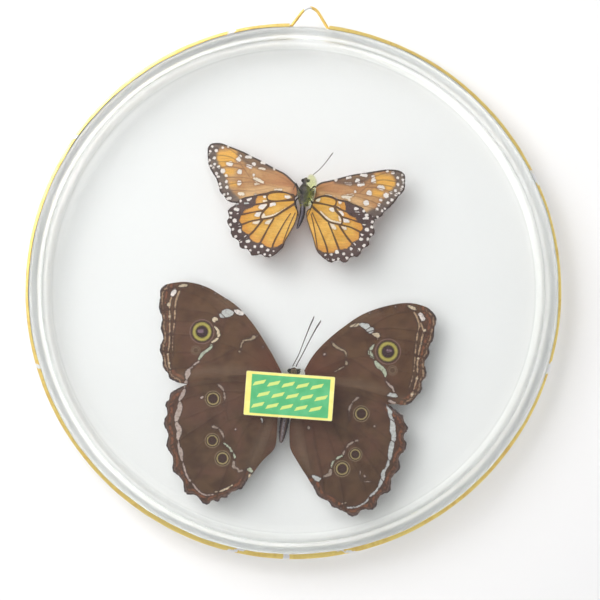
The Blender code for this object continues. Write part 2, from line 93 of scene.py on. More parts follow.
# Wings, in millimetres but for the angle
WING_RISE = math.radians(3.0)
MEMBRANE = 0.07
VEIN_RIDGE = 0.07
RIDGE_WIDTH = 0.22
MEMBRANE_SAG = 0.1
AXIS_X = {"morpho": 1.3, "queen": 1.9}
WING_Y = {"morpho": -12.7, "queen": -14.3}
WING_PITCH = {"morpho": 0.3, "queen": 0.24}
WING_LAYER = 0.7
LOBE_LENGTH = 8.0
LOBE_REACH = 2.4
LOBE_AVERAGE = 4.5
TOOTH_SHARE = 0.24
FRAY_DEPTH = 0.12
TAIL_FROM = 0.76
FAR_AWAY = 50.0
OUT_OF_REACH = 9.0

# Camera and light
TILT = math.radians(3.5)
DISC_CENTRE_PX = (293.4, 291.2)
PX_PER_MM = 2.67
CAMERA_DISTANCE = 0.55
SENSOR = 36.0
PICTURE_PX = 600
WALL_HALF = 1.6
WALL_Y = 1.5 * MM
KEY_WAY = (-9, -13, 7)
KEY_DISTANCE = 0.85


# Colours and node trees

def rgb(red, green, blue):
    """A colour from screen values of 0 to 255."""
    return tuple(((v / 255 + 0.055) / 1.055) ** 2.4 for v in (red, green, blue))


class Recipe:
    """A material's or group's node tree, with short calls for the nodes used most."""

    def __init__(self, tree):
        self.tree = tree

    def feed(self, socket, value):
        if isinstance(value, bpy.types.NodeSocket):
            self.tree.links.new(value, socket)
        elif isinstance(value, tuple) and len(value) == 3 and socket.type == "RGBA":
            socket.default_value = (*value, 1.0)
        else:
            socket.default_value = value

    def add(self, kind, inputs=(), **settings):
        node = self.tree.nodes.new("ShaderNode" + kind)
        for name, value in settings.items():
            setattr(node, name, value)
        for name, value in dict(inputs).items():
            self.feed(node.inputs[name], value)
        return node

    def math(self, operation, *values):
        node = self.add("Math", operation=operation)
        for socket, value in zip(node.inputs, values):
            self.feed(socket, value)
        return node.outputs[0]

    def step(self, value, low, high):
        """Rises smoothly from 0 at low to 1 at high, or falls where low is above high."""
        node = self.add("MapRange", interpolation_type="SMOOTHSTEP")
        for name, number in (("Value", value), ("From Min", low), ("From Max", high)):
            self.feed(node.inputs[name], number)
        return node.outputs[0]

    def stretch(self, value, low, high, new_low, new_high):
        node = self.add("MapRange")
        numbers = (value, low, high, new_low, new_high)
        for name, number in zip(("Value", "From Min", "From Max", "To Min", "To Max"), numbers):
            self.feed(node.inputs[name], number)
        return node.outputs[0]

    def mix(self, factor, first, second):
        node = self.add("Mix", data_type="RGBA")
        for index, value in ((0, factor), (6, first), (7, second)):
            self.feed(node.inputs[index], value)
        return node.outputs[2]

    def attribute(self, name, colour=False):
        node = self.add("Attribute", attribute_name=name)
        return node.outputs["Color" if colour else "Fac"]

    def place(self, scale=(1.0, 1.0, 1.0)):
        """The point on the object in millimetres, stretched by the scale."""
        where = self.add("TexCoord").outputs["Object"]
        node = self.add("Mapping", {"Vector": where, "Scale": tuple(1000 * s for s in scale)})
        return node.outputs[0]

    def noise(self, size, detail=3.0, rough=0.55, warp=0.0, scale=(1.0, 1.0, 1.0)):
        """Cloudy noise about 0.5 whose features are size millimetres across."""
        inputs = {"Vector": self.place(scale), "Scale": 1 / size, "Detail": detail, "Roughness": rough}
        return self.add("TexNoise", {**inputs, "Distortion": warp}).outputs["Fac"]

    def ramp(self, value, *stops):
        node = self.add("ValToRGB", {"Fac": value})
        elements = node.color_ramp.elements
        while len(elements) < len(stops):
            elements.new(0.5)
        for element, (position, colour) in zip(elements, stops):
            element.position = position
            element.color = (*colour, 1.0)
        return node.outputs["Color"]

    def group(self, tree, inputs=()):
        node = self.add("Group", node_tree=tree)
        for name, value in dict(inputs).items():
            self.feed(node.inputs[name], value)
        return node

    def relief(self, shader, height, strength, distance):
        """Bump the shader's surface by a height, its distance in millimetres."""
        bump = self.add("Bump", {"Strength": strength, "Distance": distance * MM, "Height": height})
        self.feed(shader.inputs["Normal"], bump.outputs["Normal"])


def new_group(name, inputs, outputs):
    """An empty shader group. A default that is a colour makes a colour input, and so is the output Colour."""
    tree = bpy.data.node_groups.new(name, "ShaderNodeTree")
    for label, default in inputs:
        colour = isinstance(default, tuple)
        kind = "NodeSocketColor" if colour else "NodeSocketFloat"
        socket = tree.interface.new_socket(label, in_out="INPUT", socket_type=kind)
        socket.default_value = (*default, 1.0) if colour else default
    for label in outputs:
        kind = "NodeSocketColor" if label == "Colour" else "NodeSocketFloat"
        tree.interface.new_socket(label, in_out="OUTPUT", socket_type=kind)
    given = tree.nodes.new("NodeGroupInput").outputs
    put = tree.nodes.new("NodeGroupOutput").inputs
    return tree, Recipe(tree), given, put


def new_paint(name, **plain):
    """A material with a Principled shader whose plain values are set by name."""
    paint = bpy.data.materials.new(name)
    paint.use_nodes = True
    recipe = Recipe(paint.node_tree)
    shader = paint.node_tree.nodes["Principled BSDF"]
    for label, value in plain.items():
        recipe.feed(shader.inputs[label.replace("_", " ")], value)
    return paint, recipe, shader


def make_wing_scales():
    """The dust of scales on a wing: fine grain, fraying for edges, streaks, clouds and a height."""
    tree, recipe, _, put = new_group("wing_scales", [], ["Grain", "Fray", "Streak", "Cloud", "Height"])
    fine = recipe.noise(0.16, detail=2.0, rough=0.7)
    cells = recipe.add("TexVoronoi", {"Vector": recipe.place(), "Scale": 7.0}).outputs["Distance"]
    recipe.feed(put["Grain"], fine)
    recipe.feed(put["Fray"], recipe.noise(0.75, detail=3.0, rough=0.65))
    recipe.feed(put["Streak"], recipe.noise(0.5, detail=3.0, rough=0.6, scale=(0.14, 1.0, 1.0)))
    recipe.feed(put["Cloud"], recipe.noise(6.0, detail=4.0, rough=0.6, warp=0.4))
    recipe.feed(put["Height"], recipe.math("MULTIPLY_ADD", cells, 0.5, fine))
    return tree


def make_metal_wear():
    """Where gilt is rubbed: the wear painted on the piece, broken up, with a fine bumpy height."""
    tree, recipe, given, put = new_group("gilt_wear", [("Amount", 0.0)], ["Silver", "Tarnish", "Height"])
    patches = recipe.noise(1.1, detail=4.0, rough=0.6)
    level = recipe.math("ADD", given["Amount"], recipe.math("MULTIPLY", patches, 0.5))
    recipe.feed(put["Silver"], recipe.step(level, 0.66, 0.74))
    recipe.feed(put["Tarnish"], recipe.step(recipe.noise(5.0, detail=5.0, rough=0.65), 0.42, 0.7))
    recipe.feed(put["Height"], recipe.noise(0.5, detail=5.0, rough=0.7))
    return tree


WING_SCALES = make_wing_scales()
GILT_WEAR = make_metal_wear()


# Shapes

def show(name, shape, paints, node, smooth=60.0, values=None, second=None):
    """Put a shape of points in millimetres and faces in the scene, as a piece that stands for a CAD node.

    It is smooth but for edges sharper than the angle. Each of the values is a number or a colour for every
    point, and second says which faces have the second paint.
    """
    points, faces = shape
    mesh = bpy.data.meshes.new(name)
    mesh.from_pydata((np.asarray(points, float) * MM).tolist(), [], faces)
    work = bmesh.new()
    work.from_mesh(mesh)
    bmesh.ops.recalc_face_normals(work, faces=work.faces)
    work.to_mesh(mesh)
    work.free()
    mesh.shade_smooth()
    mesh.set_sharp_from_angle(angle=math.radians(smooth))
    for label, numbers in (values or {}).items():
        numbers = np.asarray(numbers, np.float32)
        if numbers.ndim == 2:
            numbers = np.column_stack([numbers, np.ones(len(numbers), np.float32)])
            mesh.attributes.new(label, "FLOAT_COLOR", "POINT").data.foreach_set("color", numbers.ravel())
        else:
            mesh.attributes.new(label, "FLOAT", "POINT").data.foreach_set("value", numbers)
    if second is not None:
        mesh.polygons.foreach_set("material_index", np.array(second, np.int32))
    for paint in paints:
        mesh.materials.append(paint)
    piece = bpy.data.objects.new(name, mesh)
    bpy.context.scene.collection.objects.link(piece)
    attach(piece, BODY)
    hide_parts(node)


def unit(vector):
    return vector / max(np.linalg.norm(vector), 1e-9)


def run_along(path):
    """How far along a path each of its points lies."""
    return np.concatenate([[0], np.cumsum(np.linalg.norm(np.diff(path, axis=0), axis=1))])


def smooth_path(points, steps, closed=False):
    """Points of any dimension on a smooth curve through the given ones."""
    p = np.asarray(points, float)
    if len(p) < 3:
        t = np.linspace(0, 1, steps + 1)[:, None]
        return p[0] * (1 - t) + p[-1] * t
    if closed:
        around = np.vstack([p[-1], p, p[:2]])
    else:
        around = np.vstack([2 * p[0] - p[1], p, 2 * p[-1] - p[-2]])
    made = []
    for a, b, c, d in zip(around, around[1:], around[2:], around[3:]):
        for t in np.arange(steps) / steps:
            made.append(0.5 * (2 * b + (c - a) * t + (2 * a - 5 * b + 4 * c - d) * t ** 2
                               + (3 * b - a - 3 * c + d) * t ** 3))
    if not closed:
        made.append(p[-1])
    return np.array(made)


def even_path(points, pitch):
    """The same closed path with points a pitch apart."""
    around = np.vstack([points, points[:1]])
    run = run_along(around)
    at = np.linspace(0, run[-1], max(2, round(run[-1] / pitch)) + 1)
    return np.column_stack([np.interp(at, run, around[:, k]) for k in range(2)])[:-1]


def grid_faces(rows, columns, wrap=False):
    """Quads between the points of a grid that lie row after row; wrapped, each row is a ring."""
    faces = []
    for i in range(rows - 1):
        for j in range(columns if wrap else columns - 1):
            m = (j + 1) % columns
            faces.append((i * columns + j, i * columns + m, (i + 1) * columns + m, (i + 1) * columns + j))
    return faces


def capped_faces(rows, sides):
    """Faces of a tube whose points lie ring after ring, with both ends closed."""
    last = (rows - 1) * sides
    return grid_faces(rows, sides, wrap=True) + [tuple(range(sides)), tuple(range(last, last + sides))]


def sheet_faces(faces, count):
    """Faces of a thin solid sheet: one side, the other side count points further on, and the rim between."""
    rim = {}
    for face in faces:
        for i, j in zip(face, face[1:] + face[:1]):
            if rim.pop((j, i), None) is None:
                rim[i, j] = True
    other = [tuple(count + k for k in reversed(face)) for face in faces]
    return [*faces, *other, *((j, i, i + count, j + count) for i, j in rim)]


def tube(path, radii, sides):
    """Points and faces of a round tube along (x, y, z) points."""
    path = np.asarray(path, float)
    ahead = np.gradient(path, axis=0)
    ahead /= np.linalg.norm(ahead, axis=1)[:, None]
    side = np.cross(ahead[0], (0.31, 0.85, 0.42))
    rows = []
    for centre, direction, radius in zip(path, ahead, radii):
        side = side - direction * side.dot(direction)
        side /= np.linalg.norm(side)
        other = np.cross(direction, side)
        turns = 2 * math.pi * np.arange(sides) / sides
        rows.append(centre + radius * (np.cos(turns)[:, None] * side + np.sin(turns)[:, None] * other))
    return np.vstack(rows), capped_faces(len(path), sides)


def on_both_sides(values):
    """Values for the points of one side of a sheet, given to the other side's points too."""
    return {label: np.concatenate([numbers, numbers]) for label, numbers in values.items()}


def joined(parts):
    """Several lots of points and faces as one."""
    points, faces, start = [], [], 0
    for part_points, part_faces in parts:
        points.append(np.asarray(part_points, float))
        faces += [tuple(start + k for k in face) for face in part_faces]
        start += len(part_points)
    return np.vstack(points), faces


# Wings

def read_outline(node):
    """The outline of a flat upright CAD piece, in order, as (x, z) in millimetres."""
    work = bmesh.new()
    work.from_mesh(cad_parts[node].data)
    bmesh.ops.remove_doubles(work, verts=work.verts, dist=0.01 * MM)
    front = {face for face in work.faces if face.normal.y < -0.9}
    follow = {}
    for edge in work.edges:
        if sum(face in front for face in edge.link_faces) == 1:
            for here, there in (edge.verts, reversed(edge.verts)):
                follow.setdefault(here, []).append(there)
    here = next(iter(follow))
    before, loop = None, []
    while here not in loop:
        loop.append(here)
        before, here = here, next(v for v in follow[here] if v is not before)
    outline = np.array([(v.co.x, v.co.z) for v in loop]) / MM
    work.free()
    return outline


def distance_to_path(places, path, widths=None):
    """Millimetres from each place to a path, less the path's own half-width there."""
    near = np.full(len(places), 1e6)
    if widths is None:
        widths = np.zeros(len(path))
    if len(path) == 1:
        return np.linalg.norm(places - path[0], axis=1) - widths[0]
    for a, b, wide_a, wide_b in zip(path, path[1:], widths, widths[1:]):
        along = b - a
        t = np.clip((places - a) @ along / max(along @ along, 1e-9), 0, 1)
        gap = np.linalg.norm(places - a - t[:, None] * along, axis=1) - (wide_a + (wide_b - wide_a) * t)
        near = np.minimum(near, gap)
    return near


def inside(places, outline):
    """Which places lie inside a closed outline."""
    x, z = places[:, 0], places[:, 1]
    odd = np.zeros(len(places), bool)
    for (ax, az), (bx, bz) in zip(outline, np.roll(outline, -1, axis=0)):
        if az != bz:
            crosses = (az > z) != (bz > z)
            odd ^= crosses & (x < ax + (z - az) * (bx - ax) / (bz - az))
    return odd


def fill_outline(outline, pitch):
    """A fine triangle mesh of (x, z) points inside the outline."""
    low, high = outline.min(0), outline.max(0)
    grid = []
    for row, z in enumerate(np.arange(low[1], high[1], pitch * 0.866)):
        offset = pitch / 2 if row % 2 else 0.0
        for x in np.arange(low[0] + offset, high[0], pitch):
            grid.append((x, z))
    grid = np.array(grid)
    grid = grid[inside(grid, outline)]
    grid = grid[distance_to_path(grid, np.vstack([outline, outline[:1]])) > pitch * 0.45]
    places = [Vector(p) for p in np.vstack([outline, grid])]
    made = delaunay_2d_cdt(places, [], [list(range(len(outline)))], 1, 1e-6, False)
    places, triangles = np.array([tuple(p) for p in made[0]]), np.array(made[2])
    return places, triangles[inside(places[triangles].mean(axis=1), outline)]


def line(tint, width, *points):
    """One stroke of a marking: each point may have its own half-width."""
    return tint, [point if len(point) == 3 else (*point, width) for point in points]


def dots(tint, width, *points):
    return [line(tint, width, point) for point in points]


def stroke_field(places, strokes):
    """For each place the distance to the nearest stroke, and that stroke's tint."""
    near = np.full(len(places), FAR_AWAY)
    tint = np.ones((len(places), 3))
    for colour, points in strokes:
        path = smooth_path(points, 4) if len(points) > 1 else np.array(points)
        gap = distance_to_path(places, path[:, :2], path[:, 2])
        closer = gap < near
        near = np.where(closer, gap, near)
        tint[closer] = TINTS[colour]
    return near, tint


def vein_field(places, veins):
    near = np.full(len(places), FAR_AWAY)
    for points in veins:
        path = smooth_path([p if len(p) == 3 else (*p, 0.0) for p in points], 4)
        near = np.minimum(near, distance_to_path(places, path[:, :2], path[:, 2]))
    return near


def eye_field(places, eyes):
    """For each place how many ring radii it lies from the nearest eyespot's centre."""
    near = np.full(len(places), OUT_OF_REACH)
    for x, z, radius in eyes:
        near = np.minimum(near, np.hypot(places[:, 0] - x, places[:, 1] - z) / radius)
    return near


def carry(points, places_from, places_to):
    """Move points the way that three places move, as from a left wing to the right one."""
    source = np.column_stack([places_from, np.ones(3)])
    change = np.linalg.solve(source, np.array(places_to, float))
    moved = []
    for point in points:
        x, z = np.array([point[0], point[1], 1.0]) @ change
        moved.append((x, z, *point[2:]))
    return moved


def carry_all(paths, places_from, places_to):
    return [carry(path, places_from, places_to) for path in paths]


def wing_middle(places, axis_x, root_y):
    """The y of a wing's middle surface: it leans back, with a slight bow and ripples."""
    reach = np.abs(places[:, 0] - axis_x)
    z = places[:, 1]
    bow = 0.55 * np.sin(np.clip(reach / 48, 0, 1.1) * math.pi)
    ripple = 0.16 * np.sin(0.33 * z + 0.12 * reach) + 0.12 * np.sin(0.29 * reach - 0.21 * z + 1.0)
    return root_y + math.tan(WING_RISE) * reach - 0.4 * bow + ripple * np.clip(reach / 12, 0, 1)


def averaged(values, reach):
    """Each row of a closed path's values averaged with its neighbours up to reach rows away."""
    around = np.concatenate([values[-reach:], values, values[:reach]]).astype(float)
    total = np.cumsum(np.concatenate([np.zeros_like(around[:1]), around]), axis=0)
    wide = 2 * reach + 1
    return (total[wide:] - total[:-wide]) / wide


def scallop(outline, corners, depth):
    """Cut hollows between the lobes that stand out along the outer margin, and give it a ragged fringe.

    The corners are the margin's two ends with a place between them. The margin before the cut comes back too.
    """
    start, through, end = [int(np.argmin(np.linalg.norm(outline - np.array(p), axis=1))) for p in corners]
    first, last = sorted((start, end))
    if not first < through < last:
        first, last = last, first
    outline = np.roll(outline, -first, axis=0)
    count = (last - first) % len(outline) + 1
    pitch = np.linalg.norm(outline[1] - outline[0])
    ahead = np.roll(outline, -1, axis=0) - np.roll(outline, 1, axis=0)
    ahead /= np.linalg.norm(ahead, axis=1)[:, None]
    inward = np.column_stack([-ahead[:, 1], ahead[:, 0]])
    if np.mean(np.sum(inward * (outline.mean(0) - outline), axis=1)) < 0:
        inward = -inward
    stands_out = np.sum((averaged(outline, round(LOBE_AVERAGE / pitch)) - outline) * inward, axis=1)
    near = np.arange(-round(LOBE_REACH / pitch), round(LOBE_REACH / pitch) + 1)
    peaks = [i for i in range(count)
             if stands_out[i] > 0.02 and stands_out[i] == stands_out[(i + near) % len(outline)].max()]
    hollow = np.zeros(len(outline))
    for before, after in zip(peaks, peaks[1:]):
        length = (after - before) * pitch
        lobes = max(1, round(length / LOBE_LENGTH))
        across = np.linspace(0, lobes, after - before, endpoint=False)
        hollow[before:after] = np.sin(math.pi * across) ** 2 * min(1.0, length / lobes / LOBE_AVERAGE)
    run = np.arange(len(outline)) * pitch
    teeth = 0.5 + 0.5 * np.sin(run * 3.0 + 1.5 * np.sin(run * 0.7))
    fray = 0.5 + 0.5 * np.sin(run * 9.0 + 2 * np.sin(run * 2.3)) * np.sin(run * 3.7)
    cut = depth * (hollow ** 1.5 + TOOTH_SHARE * teeth) + FRAY_DEPTH * fray
    within = np.arange(len(outline)) < count
    cut *= averaged(within, round(1.2 / pitch)) * within
    return outline + inward * cut[:, None], outline[:count]


def make_wing(node, pitch, axis_x, root_y, design, paints):
    """A wing in place of its CAD solid: a thin sheet with raised veins, its markings as distances."""
    rough = smooth_path(read_outline(node), 6, closed=True)
    smooth_outline = even_path(rough, pitch * 0.55)
    outline, outer = scallop(smooth_outline, design["margin"], design["lobes"])
    places, triangles = fill_outline(outline, pitch)
    count = len(places)
    a, b, c = places[triangles[:, 0]], places[triangles[:, 1]], places[triangles[:, 2]]
    area = (b[:, 0] - a[:, 0]) * (c[:, 1] - a[:, 1]) - (b[:, 1] - a[:, 1]) * (c[:, 0] - a[:, 0])
    triangles[area < 0] = triangles[area < 0][:, ::-1]

    rim = distance_to_path(places, np.vstack([outline, outline[:1]]))
    if np.linalg.norm(outer[0] - design["margin"][2]) < np.linalg.norm(outer[-1] - design["margin"][2]):
        outer = outer[::-1]
    near_tail = np.clip((np.linspace(0, 1, len(outer)) - TAIL_FROM) / (1 - TAIL_FROM), 0, 1)
    margin = distance_to_path(places, outer, -design.get("narrowing", 0.0) * near_tail)
    vein = vein_field(places, design["veins"])
    marks, tint = stroke_field(places, design["marks"])
    dusk, _ = stroke_field(places, design.get("dusk", []))
    glow, glow_tint = stroke_field(places, design["glow"])
    eye = eye_field(places, design.get("eyes", []))
    faint_eye = eye_field(places, design.get("faint_eyes", []))
    root = np.linalg.norm(places - np.array(design["root"]), axis=1)

    middle = wing_middle(places, axis_x, root_y)
    ridge = np.exp(-(np.clip(vein, 0, None) / RIDGE_WIDTH) ** 2)
    sag = MEMBRANE_SAG * (1 - np.exp(-np.clip(vein, 0, None) / 1.2)) * np.clip(rim / 2, 0, 1)
    half = MEMBRANE * np.clip(rim / 0.4, 0.35, 1) + VEIN_RIDGE * ridge * np.clip(rim / 0.5, 0, 1)
    front = np.column_stack([places[:, 0], middle + sag - half, places[:, 1]])
    back = np.column_stack([places[:, 0], middle + sag + half, places[:, 1]])

    faces = sheet_faces([tuple(triangle) for triangle in triangles.tolist()], count)
    second = np.zeros(len(faces), np.int32)
    second[len(triangles):2 * len(triangles)] = 1
    values = {"rim": rim, "margin": margin, "vein": vein, "marks": marks, "dusk": dusk, "glow": glow,
              "eye": eye, "faint_eye": faint_eye, "root": root, "tint": tint, "glow_tint": glow_tint}
    show(node + "_membrane", (np.vstack([front, back]), faces), paints, node, 50.0,
         on_both_sides(values), second)


# Wing designs

TINTS = {
    "white": rgb(250, 242, 236), "cream": rgb(228, 210, 178), "ivory": rgb(248, 234, 214),
    "frost": rgb(208, 212, 210), "mint": rgb(192, 203, 178),
    "pink": rgb(194, 176, 166), "grey": rgb(166, 150, 136),
    "tan": rgb(188, 158, 124), "straw": rgb(172, 156, 128), "violet": rgb(134, 106, 124),
    "gold": rgb(248, 186, 80), "sand": rgb(232, 186, 130), "fold": rgb(126, 104, 84),
    "black": rgb(60, 48, 42)}

MORPHO_FORE_VEINS = [
    [(-3.5, -31.5, 0.3), (-8, -23.5), (-14, -16.5), (-20, -12.2), (-24.5, -11.6)],
    [(-3.5, -32.5, 0.3), (-9, -28), (-16, -24.0), (-22, -22), (-26.8, -20.8)],
    [(-24.5, -11.6), (-25.0, -14), (-25.6, -17), (-26.8, -20.8)],
    [(-16, -14.8), (-24, -7.0), (-33, -1.6), (-40, 0.2)],
    [(-24.5, -11.6), (-32, -5.6), (-40, -2.6), (-48.6, -1.6)],
    [(-24.7, -12.4), (-31, -10.0), (-40, -9.4), (-49.9, -9.8)],
    [(-25.2, -15), (-31, -13.6), (-40, -13.6), (-49.0, -14.2)],
    [(-26.2, -19), (-32, -18.6), (-40, -18.7), (-48.3, -18.9)],
    [(-26.8, -20.8), (-34, -24.4), (-41, -25.4), (-48.6, -25.6)],
    [(-20, -22.6), (-28, -27.2), (-37, -30.6), (-46.6, -32.4)],
    [(-3.2, -33.4), (-14, -33.0), (-28, -34.4), (-42.5, -36.2)]]
MORPHO_HIND_VEINS = [
    [(-3.5, -37.0, 0.3), (-12, -35.0), (-22, -35.2), (-33, -37.0), (-42, -40.0)],
    [(-4.0, -38.5, 0.3), (-13, -38.6), (-21.5, -42.2)],
    [(-13, -38.6), (-25, -39.0), (-36, -41.8), (-45.0, -46.6)],
    [(-21.5, -42.2), (-33, -47.6), (-45.2, -53.6)],
    [(-21.5, -42.2), (-22.2, -45.4), (-21.2, -49.4)],
    [(-22.2, -45.4), (-33, -53.4), (-43.6, -61.6)],
    [(-21.2, -49.4), (-31.5, -59.5), (-40.9, -70.2)],
    [(-4.2, -40.0, 0.3), (-10, -44.0), (-16, -47.6), (-21.2, -49.4)],
    [(-16, -47.6), (-24.6, -60), (-31, -70), (-36.0, -77.6)],
    [(-10, -44.0), (-16, -55), (-19.6, -64), (-24.4, -80.2)],
    [(-5.0, -42.0, 0.2), (-8.2, -50, 0.3), (-10.2, -57, 0.3), (-13.2, -66, 0.3), (-15.6, -75.0)],
    [(-3.6, -42), (-4.6, -50), (-6.6, -58), (-9.2, -65.8)]]
QUEEN_FORE_VEINS = [
    [(-1.5, 38.6, 0.25), (-8, 42.6), (-15, 44.3), (-20, 45.6), (-22.5, 46.0)],
    [(-2.0, 37.3, 0.25), (-8, 38.3), (-14, 39.2), (-18.5, 41.0)],
    [(-22.5, 46.0), (-21.0, 44.2), (-18.5, 41.0)],
    [(-16, 44.6), (-22, 48.2), (-27, 51.4), (-31.5, 53.0)],
    [(-22.5, 46.3), (-27, 48.6), (-35.2, 49.0)],
    [(-22.3, 45.8), (-28, 46.6), (-34.9, 46.0)],
    [(-21.2, 44.3), (-27, 44.8), (-33.8, 43.4)],
    [(-18.5, 41.0), (-25, 41.0), (-31.7, 40.2)],
    [(-14.5, 39.3), (-21, 39.4), (-30.3, 37.3)],
    [(-9.0, 38.5), (-17, 36.3), (-24, 36.2), (-29.0, 34.6)],
    [(-2.0, 36.6), (-12, 34.2), (-25, 32.4)]]
QUEEN_LEFT_HIND_VEINS = [
    [(-1.6, 34.4, 0.5), (-3.6, 36.0, 0.25), (-7.5, 36.4, 0.2), (-11.4, 35.6, 0.25), (-11.9, 34.2, 0.2),
     (-11, 33.0, 0.25),
     (-7, 33.1, 0.2), (-2.0, 33.9, 0.4)],
    [(-1.5, 34.2, 0.4), (-7, 33.1, 0.22), (-10.8, 32.4, 0.25), (-11.3, 31.0, 0.4), (-12.8, 29.1, 0.3),
     (-13.8, 27.2, 0.2),
     (-13.6, 25.9, 0.2)],
    [(-1.2, 32.6, 0.4), (-5, 29.9, 0.3), (-9, 27.1, 0.25), (-13.6, 25.9, 0.2), (-17, 25.1, 0.2),
     (-20, 23.8, 0.3)],
    [(-11.6, 35.3, 0.3), (-16, 34.7, 0.3), (-21, 33.2, 0.4)],
    [(-11.3, 32.4, 0.3), (-14, 31.7, 0.2), (-18, 31.0, 0.3), (-24, 30.6)],
    [(-12.8, 29.2, 0.25), (-17, 28.3, 0.15), (-21.6, 27.1, 0.3), (-26.0, 26.4)],
    [(-20, 23.8, 0.3), (-25.3, 21.8)],
    [(-13.2, 25.6, 0.3), (-15.2, 22.6, 0.25), (-17.4, 20.0, 0.3), (-21.8, 16.7)],
    [(-8.9, 26.5, 0.2), (-10.7, 23, 0.2), (-13.1, 17.8, 0.3), (-15.8, 12.2)],
    [(-2.8, 28.7, 0.1), (-5.2, 24.5, 0.15), (-8.6, 16.8, 0.25), (-8.8, 12.4)],
    [(-1.1, 29, 0.1), (-3.2, 23.5, 0.12), (-5.4, 16, 0.12)]]
QUEEN_RIGHT_HIND_VEINS = [
    [(5.4, 33.8, 0.5), (6.4, 34.9, 0.25), (9.5, 35.9, 0.2), (13.2, 35.2, 0.25), (13.9, 33.8, 0.2),
     (13, 32.4, 0.25),
     (9.6, 32.9, 0.2), (5.4, 33.4, 0.4)],
    [(5.0, 33.5, 0.4), (9.6, 32.9, 0.22), (13.1, 32.2, 0.25), (14.0, 30.8, 0.4), (16.0, 28.8, 0.3),
     (16.6, 27.0, 0.2),
     (16.2, 25.7, 0.2)],
    [(4.8, 32.0, 0.4), (8, 29.4, 0.3), (11.5, 26.6, 0.25), (16.2, 25.7, 0.2), (20, 24.9, 0.2),
     (23.4, 23.5, 0.3)],
    [(13.6, 35.0, 0.3), (18, 34.2, 0.3), (23, 32.6, 0.4)],
    [(14, 32.2, 0.3), (17, 30.9, 0.2), (20.5, 30.3, 0.3), (26.0, 30.6)],
    [(16.5, 28.6, 0.25), (20, 27.8, 0.15), (23.6, 27.0, 0.3), (28.6, 26.6)],
    [(23.4, 23.5, 0.3), (28.2, 21.8)],
    [(15.6, 25.3, 0.3), (17.6, 22.6, 0.25), (19.8, 20.0, 0.3), (24.2, 15.6)],
    [(11.5, 26.0, 0.2), (13.2, 22.6, 0.2), (15.6, 17.4, 0.3), (18.2, 11.8)],
    [(5.2, 29.5, 0.1), (9, 22.2, 0.15), (11.6, 16.2, 0.25), (12.0, 11.9)],
    [(4.8, 29.0, 0.1), (6.4, 23.5, 0.12), (8.0, 16.0, 0.12)]]

# Three places on each left wing and the same three on the right one: root, far corner and rear corner
MORPHO_FORE_PLACES = (
    [(-2.3, -32.0), (-48.6, -1.6), (-45.5, -34.0)],
    [(4.9, -32.0), (52.6, -4.4), (49.4, -36.6)])
MORPHO_HIND_PLACES = (
    [(-2.7, -37.0), (-42.0, -40.0), (-28.0, -81.6)],
    [(5.3, -37.0), (42.4, -42.8), (27.8, -82.7)])
QUEEN_FORE_PLACES = (
    [(-0.9, 38.0), (-34.6, 52.6), (-26.2, 31.9)],
    [(4.7, 37.5), (38.8, 46.0), (28.8, 28.6)])

